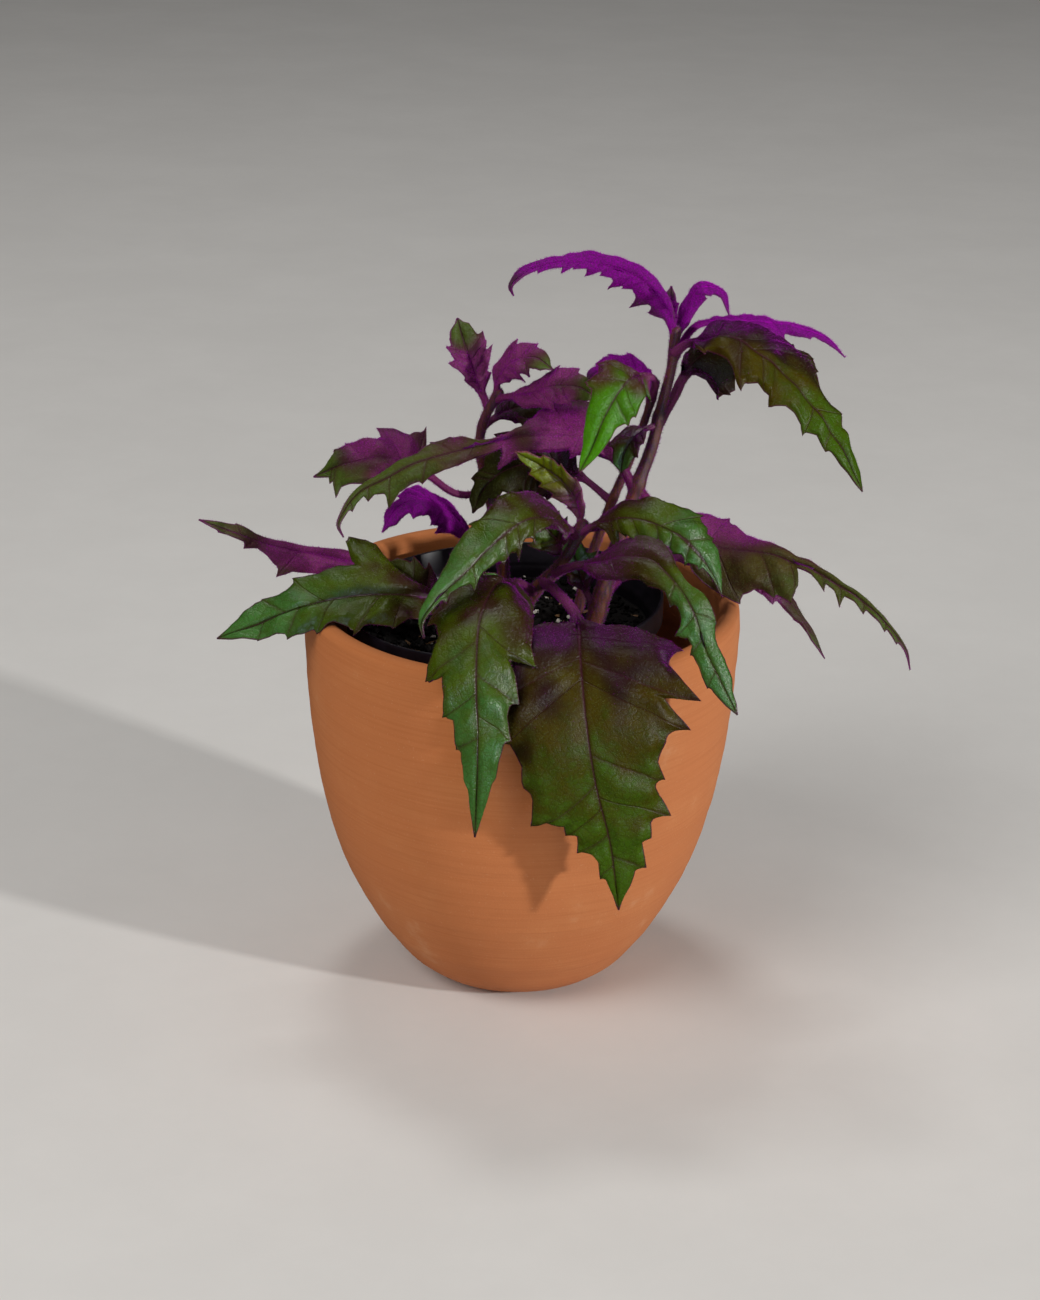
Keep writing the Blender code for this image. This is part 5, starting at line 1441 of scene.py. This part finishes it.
        # Along the petiole the share of the blade is below 0, and no rib, vein or margin is near.
        back = (places[:, None] - blade_start) / (path.length - blade_start) - 0.002
        before = {"rib_mm": 9.0, "vein_mm": 9.0, "edge_mm": 9.0, "under": 0.0, "bloom": 0.8, "dusk": 1.0}
        full = {"along": np.concatenate((back + np.zeros(blade.shape[1]), values["along"]))}
        for name, start in before.items():
            full[name] = np.concatenate((start * (1.0 - merge) + merge * values[name][0], values[name]))
        return rings, full


@dataclass
class StemPiece:
    """One stem: a softly ridged tube, a little swollen where its leaves join. Sizes in millimetres."""

    stem: Stem
    finish: bpy.types.Material
    hairs: Hairs
    seed: int
    ring_step: float = 1.5
    sides: int = 22
    # How many ridges it has, and their height as a share of its radius.
    ridges: int = 6
    ridge_height: float = 0.05
    # How much thicker it is at a leaf, and how far that reaches.
    swelling: float = 0.14
    swelling_reach: float = 2.5
    # Hairs on a square millimetre, in the air and in the soil, their usual length, and the violet share.
    air_hairs: float = 4.5
    soil_hairs: float = 0.01
    hair_length: float = 0.85
    violet_share: float = 0.5

    def build(self) -> int:
        """Makes the stem and its hairs.

        Returns:
            How many triangles they have.
        """
        stem = self.stem
        path = stem_path(stem)
        places = np.arange(0.0, path.length, self.ring_step)
        # Four more rings close the top as a dome.
        top = path.length + np.array((0.0, 0.35, 0.6, 0.75)) * stem.top_radius
        radius = np.concatenate((stem_radius(stem, path, places),
                                 stem.top_radius * np.array((1.0, 0.85, 0.55, 0.1))))
        places = np.concatenate((places, top))
        for leaf in LEAVES:
            if leaf.stem == stem.name:
                off = places - path.nearest(leaf.path[0])
                radius = radius * (1.0 + self.swelling * np.exp(-(off / self.swelling_reach) ** 2))
        turn = math.pi - 2.0 * math.pi * (np.arange(self.sides) + 0.5) / self.sides
        ridged = 1.0 + self.ridge_height * np.cos(self.ridges * turn + 0.02 * places[:, None])
        along = path.along(places)
        up = square_to(np.broadcast_to((0.0, -1.0, 0.15), along.shape), along)
        wide = (radius[:, None] * ridged * np.cos(turn))[..., None] * np.cross(along, up)[:, None]
        high = (radius[:, None] * ridged * np.sin(turn))[..., None] * up[:, None]
        rings = path.at(places)[:, None] + wide + high
        skin = mesh_piece("skin_" + stem.name, rings, ring_faces(len(places), self.sides), self.finish)
        young = smooth(places / path.length, 0.45, 1.05)[:, None] + np.zeros(self.sides)
        give_values(skin, {"young": young})
        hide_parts(stem.name)
        density = np.where(places > STEM_DEPTH - 3.0, self.air_hairs, self.soil_hairs)
        density = np.repeat(density[:, None], self.sides, axis=1)
        fuzz = self.hairs.grow("hairs_" + stem.name, rings, density,
                               np.full_like(density, self.violet_share), self.hair_length, self.seed)
        return 2 * len(skin.data.polygons) + len(fuzz.data.polygons)


def turned(profile: Sequence, steps: int) -> tuple[np.ndarray, list]:
    """A round shape from its profile, which starts and ends on the axis.

    Args:
        profile: points as (radius, height).
        steps: number of points round the shape.

    Returns:
        Points as rings, one ring for each point of the profile, and faces.
    """
    turn = 2.0 * math.pi * np.arange(steps) / steps
    radius, height = np.array(profile).T
    radius = np.maximum(radius, 0.02)
    grid = np.stack((radius[:, None] * np.cos(turn), radius[:, None] * np.sin(turn),
                     np.repeat(height[:, None], steps, axis=1)), axis=-1)
    faces = [(row * steps + column, row * steps + (column + 1) % steps,
              (row + 1) * steps + (column + 1) % steps, (row + 1) * steps + column)
             for row in range(len(profile) - 1) for column in range(steps)]
    end = (len(profile) - 1) * steps
    faces.append(tuple(reversed(range(steps))))
    faces.append(tuple(range(end, end + steps)))
    return grid, faces


def lean(points: np.ndarray) -> np.ndarray:
    """Points of the nursery pot and its soil, from upright to where the pot stands and leans."""
    turn = np.array(Matrix.Rotation(math.radians(-NURSERY_LEAN_DEG), 3, "Y"))
    return points @ turn.T + np.array((0.0, 0.0, NURSERY_FLOOR_Z))


@dataclass
class TerracottaPot:
    """Egg-shaped pot thrown on a wheel: flat foot, even wall and rounded lip. Sizes in millimetres."""

    height: float = 150.0
    foot_radius: float = 29.0
    floor: float = 9.0
    wall: float = 7.5
    # The wall's outside as (height, radius), from the foot to the lip.
    outside: tuple = ((0.6, 29.0), (2.5, 33.5), (7.5, 41.0), (18.0, 50.0), (33.0, 59.0), (51.0, 67.0),
                      (72.0, 73.0), (96.0, 77.0), (122.0, 79.3), (142.0, 80.2))
    # Points round the pot, rows up its wall, and how far up its rounder foot has closer rows.
    steps: int = 144
    row_step: float = 1.6
    foot_height: float = 8.0
    # Unevenness from the wheel in close rings, and from the potter's hands.
    ring_relief: float = 0.09
    hand_relief: float = 0.22
    # A crease under the lip.
    crease_height: float = 141.3
    crease_depth: float = 0.22
    crease_width: float = 0.9
    # A chip at the foot: its middle, depth and radius.
    chip: tuple = (-14.0, -29.0, 1.5)
    chip_depth: float = 1.6
    chip_radius: float = 2.4

    def build(self) -> int:
        """Makes the pot.

        Returns:
            How many triangles it has.
        """
        lip = self.wall / 2.0
        heights, radii = np.array(self.outside).T
        rows = np.concatenate((np.linspace(heights[0], self.foot_height, 9)[:-1],
                               np.arange(self.foot_height, heights[-1], self.row_step)))
        outer = [(float(curve_through(heights, radii, np.array([row]))[0]), float(row)) for row in rows]
        middle = radii[-1] - lip - 0.4
        profile = [(0.0, 0.0), (self.foot_radius - 3.0, 0.0), (self.foot_radius - 1.2, 0.05)] + outer
        for turn in np.linspace(4.0, 176.0, 15):
            angle = math.radians(turn)
            profile.append((middle + lip * math.cos(angle), self.height - lip + lip * math.sin(angle)))
        profile += [(radius - self.wall, row) for radius, row in reversed(outer) if row > 18.0]
        profile += [(38.0, self.floor + 4.0), (26.0, self.floor + 0.6), (0.0, self.floor)]
        grid, faces = turned(profile, self.steps)
        level = grid[..., 2]
        rings = ripples(np.concatenate((grid[..., :2] / 60.0, grid[..., 2:]), axis=-1), 7.0, 41)
        hand = ripples(grid, 70.0, 42)
        is_body = smooth(level, 1.0, 6.0)
        off = level - self.crease_height - 0.6 * ripples(grid, 60.0, 43)
        crease = np.exp(-(off / self.crease_width) ** 2)
        change = (self.ring_relief * rings + self.hand_relief * hand) * is_body - self.crease_depth * crease
        away = np.linalg.norm(grid - np.array(self.chip), axis=-1)
        change = change - self.chip_depth * np.exp(-(away / self.chip_radius) ** 2)
        outward = unit(grid * np.array((1.0, 1.0, 0.0)))
        grid = grid + change[..., None] * outward
        piece = mesh_piece("terracotta_shell", grid, faces, TerracottaFinish().make())
        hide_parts("terracotta_pot")
        return 2 * len(piece.data.polygons)


@dataclass
class NurseryPot:
    """Thin moulded pot with a wider band at its rim, leaning in the terracotta pot.

    Sizes are in millimetres, and the band's width is its height.
    """

    height: float = NURSERY_HEIGHT
    foot_radius: float = 43.0
    neck_radius: float = 55.0
    rim_radius: float = 58.5
    band_width: float = 10.0
    wall: float = 1.3
    steps: int = 144

    def build(self) -> int:
        """Makes the pot.

        Returns:
            How many triangles it has.
        """
        band, top, wall = self.height - self.band_width, self.height, self.wall
        foot, neck, rim = self.foot_radius, self.neck_radius, self.rim_radius
        # Up the outside with its soft edges, over the rim and down the inside.
        profile = [(0.0, 0.0), (foot - 3.0, 0.0), (foot - 1.0, 0.6), (foot, 3.0), (neck, band),
                   (neck + 0.3, band + 0.1), (rim - 0.9, band + 0.5), (rim - 0.5, band + 1.0),
                   (rim, top - 0.9), (rim - 0.1, top - 0.3), (rim - 0.5, top), (rim - wall + 0.3, top),
                   (rim - wall, top - 0.3), (rim - wall - 0.6, band + wall + 0.8),
                   (neck - wall + 0.3, band + wall), (neck - wall, band - 0.6),
                   (foot - wall, 4.0), (foot - 3.5, wall + 0.4), (0.0, wall + 0.4)]
        grid, faces = turned(profile, self.steps)
        piece = mesh_piece("nursery_shell", lean(grid), faces, BLACK_PLASTIC.make())
        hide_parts("nursery_pot")
        return 2 * len(piece.data.polygons)


@dataclass(frozen=True)
class Bits:
    """Broken bits of one kind that lie on the soil.

    size holds their smallest and largest half size in millimetres, shape their stretch along, across
    and upwards, and detail how finely each is rounded.
    """

    name: str
    count: int
    size: tuple
    shape: tuple
    detail: int
    seed: int


SOIL_CRUMBS = Bits("soil_crumbs", 1500, size=(0.5, 1.7), shape=(1.0, 0.85, 0.75), detail=1, seed=61)
PERLITE_BITS = Bits("perlite_bits", 85, size=(0.5, 1.35), shape=(1.0, 0.9, 0.8), detail=2, seed=62)
BARK_BITS = Bits("bark_bits", 46, size=(0.6, 1.5), shape=(2.4, 0.55, 0.4), detail=2, seed=63)


@dataclass
class Soil:
    """Potting mix that fills the nursery pot, with bits on its top. Sizes in millimetres."""

    below_rim: float = 13.0
    top_radius: float = 52.6
    foot_radius: float = 38.0
    floor: float = 2.0
    rings: int = 44
    steps: int = 120

    def surface(self, flat: np.ndarray) -> np.ndarray:
        """The soil's height, which is uneven and levels out towards the pot's wall.

        Args:
            flat: places in the upright pot as x and y.

        Returns:
            One height for each place.
        """
        away = np.linalg.norm(flat, axis=-1)
        high = NURSERY_HEIGHT - self.below_rim
        inside = smooth(away, self.top_radius, self.top_radius - 7.0)
        return high + (0.9 * ripples(flat, 26.0, 51) + 0.5 * ripples(flat, 7.0, 52)
                       + 0.28 * ripples(flat, 2.6, 53)) * (0.3 + 0.7 * inside)

    def scatter(self, kind: Bits, finish: bpy.types.Material) -> int:
        """Scatters broken bits over the soil.

        Args:
            kind: the bits.
            finish: their material.

        Returns:
            How many triangles they have.
        """
        source = np.random.default_rng(kind.seed)
        shell = bmesh.new()
        bmesh.ops.create_icosphere(shell, subdivisions=kind.detail, radius=1.0)
        ball = np.array([point.co[:] for point in shell.verts])
        sides = np.array([[point.index for point in face.verts] for face in shell.faces])
        shell.free()
        count = kind.count
        reach = (self.top_radius - 1.5) * np.sqrt(source.random(count))
        turn = source.uniform(0.0, 2.0 * math.pi, count)
        flat = np.stack((reach * np.cos(turn), reach * np.sin(turn)), axis=-1)
        half = source.uniform(*kind.size, count)
        seat = np.concatenate((flat, (self.surface(flat) + 0.25 * half)[:, None]), axis=-1)
        rough = 1.0 + source.uniform(-0.28, 0.28, (count, len(ball), 1))
        bits = ball[None] * rough * half[:, None, None] * np.array(kind.shape)
        spin, tilt = source.uniform(0.0, 2.0 * math.pi, count), source.normal(0.0, 0.35, count)
        rotation = np.array([np.array(Matrix.Rotation(one, 3, "Z") @ Matrix.Rotation(two, 3, "Y"))
                             for one, two in zip(spin, tilt)])
        points = np.einsum("nij,nkj->nki", rotation, bits) + seat[:, None]
        faces = (sides[None] + len(ball) * np.arange(count)[:, None, None]).reshape(-1, 3)
        piece = mesh_piece(kind.name, lean(points.reshape(-1, 3)), faces.tolist(), finish, False)
        return len(faces)

    def build(self) -> int:
        """Makes the soil and the bits on it.

        Returns:
            How many triangles they have.
        """
        top = NURSERY_HEIGHT - self.below_rim
        side = [(0.0, self.floor), (self.foot_radius, self.floor),
                (self.foot_radius + 2.6, self.floor + 4.0), (self.top_radius, top - 2.5)]
        level = [(self.top_radius * (1.0 - ring / self.rings), top) for ring in range(self.rings + 1)]
        grid, faces = turned(side + level, self.steps)
        grid[len(side):, :, 2] = self.surface(grid[len(side):, :, :2])
        mix = POTTING_MIX.make()
        piece = mesh_piece("soil_plug", lean(grid), faces, mix)
        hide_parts("soil")
        total = 2 * len(piece.data.polygons)
        for kind, finish in ((SOIL_CRUMBS, mix), (PERLITE_BITS, PERLITE.make()), (BARK_BITS, BARK.make())):
            total += self.scatter(kind, finish)
        return total


@dataclass(frozen=True)
class Lamp:
    """A square light that looks at the plant. Its distance and side are in metres, its power in watts.

    direction runs from the plant towards the light.
    """

    name: str
    direction: tuple
    distance: float
    side: float
    power: float

    def place(self, target: Vector) -> bpy.types.Object:
        """Adds the light.

        Args:
            target: the point that it looks at.

        Returns:
            The light.
        """
        light = bpy.data.lights.new(self.name, "AREA")
        light.size = self.side
        light.energy = self.power
        lamp = bpy.data.objects.new(self.name, light)
        way = Vector(self.direction).normalized()
        lamp.location = target + way * self.distance
        lamp.rotation_euler = way.to_track_quat("Z", "Y").to_euler()
        bpy.context.scene.collection.objects.link(lamp)
        return lamp


@dataclass
class Studio:
    """Pale floor, soft light and the camera at the photograph's viewing angle. Sizes in metres."""

    floor_size: float = 10.0
    target: tuple = (0.0, 0.0, 0.15)
    key: Lamp = Lamp("key", (0.82, -0.52, 0.29), distance=2.6, side=0.12, power=42.0)
    fill: Lamp = Lamp("fill", (-0.58, -0.68, 0.75), distance=2.2, side=1.2, power=23.0)
    top: Lamp = Lamp("top", (-0.1, 0.35, 1.0), distance=2.2, side=0.4, power=9.0)
    front: Lamp = Lamp("front", (0.3, -0.95, 0.05), distance=2.2, side=0.6, power=12.0)
    front_colour: str = "c8dcff"
    world_colour: str = "f2f2f4"
    world_strength: float = 0.14
    camera_place: tuple = (-0.0005, -0.9236, 0.5111)
    camera_drop_deg: float = 22.54
    camera_roll_deg: float = 1.29
    # Focal length in millimetres.
    lens: float = 74.84

    def build(self) -> None:
        """Makes the floor, the lights, the world and the camera."""
        scene = bpy.context.scene
        half = self.floor_size / 2.0
        mesh = bpy.data.meshes.new("studio_floor")
        mesh.from_pydata([(-half, -half, 0.0), (half, -half, 0.0), (half, half, 0.0), (-half, half, 0.0)],
                         [], [(0, 1, 2, 3)])
        mesh.materials.append(FLOOR_PAINT.make())
        floor = bpy.data.objects.new("studio_floor", mesh)
        scene.collection.objects.link(floor)
        target = Vector(self.target)
        self.key.place(target)
        fill = self.fill.place(target)
        self.top.place(target)
        front = self.front.place(target)
        world = bpy.data.worlds.new("studio")
        world.use_nodes = True
        backdrop = world.node_tree.nodes["Background"]
        backdrop.inputs["Color"].default_value = linear(self.world_colour)
        backdrop.inputs["Strength"].default_value = self.world_strength
        # The front light shows in gloss alone. The fill, the floor and the world do not show in it,
        # because they would grey the leaves.
        front.visible_diffuse = False
        front.data.color = linear(self.front_colour)[:3]
        fill.visible_glossy = False
        floor.visible_glossy = False
        world.cycles_visibility.glossy = False
        scene.world = world
        scene.view_settings.view_transform = "Standard"
        scene.camera = self.camera()

    def camera(self) -> bpy.types.Object:
        """Adds the camera, tilted down and rolled as the photograph's was.

        Returns:
            The camera.
        """
        view = bpy.data.cameras.new("photo_camera")
        view.lens = self.lens
        view.sensor_width = 36.0
        view.sensor_fit = "AUTO"
        made = bpy.data.objects.new("photo_camera", view)
        drop, roll = math.radians(self.camera_drop_deg), math.radians(self.camera_roll_deg)
        ahead = Vector((0.0, math.cos(drop), -math.sin(drop)))
        flat, raised = Vector((1.0, 0.0, 0.0)), Vector((0.0, math.sin(drop), math.cos(drop)))
        right = math.cos(roll) * flat + math.sin(roll) * raised
        up = -math.sin(roll) * flat + math.cos(roll) * raised
        turn = Matrix((right, up, -ahead)).transposed()
        made.matrix_world = Matrix.Translation(self.camera_place) @ turn.to_4x4()
        bpy.context.scene.collection.objects.link(made)
        return made


def main() -> None:
    """Builds every piece."""
    logging.basicConfig(level=logging.INFO, format="%(message)s")
    Studio().build()
    total = 0
    for part in (TerracottaPot(), NurseryPot(), Soil()):
        count = part.build()
        total += count
        LOG.info("%s: %d triangles", type(part).__name__, count)
    hairs = Hairs(VIOLET_HAIR.make(), PALE_HAIR.make())
    bark = StemFinish().make()
    skins = {finish.tone: finish.make() for finish in LEAF_FINISHES}
    for index, stem in enumerate(STEMS):
        count = StemPiece(stem, bark, hairs, 100 + index).build()
        total += count
        LOG.info("%s: %d triangles", stem.name, count)
    for index, leaf in enumerate(LEAVES):
        count = LeafPiece(leaf, skins[leaf.tone], hairs, 200 + 10 * index).build()
        total += count
        LOG.info("%s: %d triangles", leaf.name, count)
    LOG.info("all pieces: %d triangles", total)


if __name__ == "__main__":
    main()
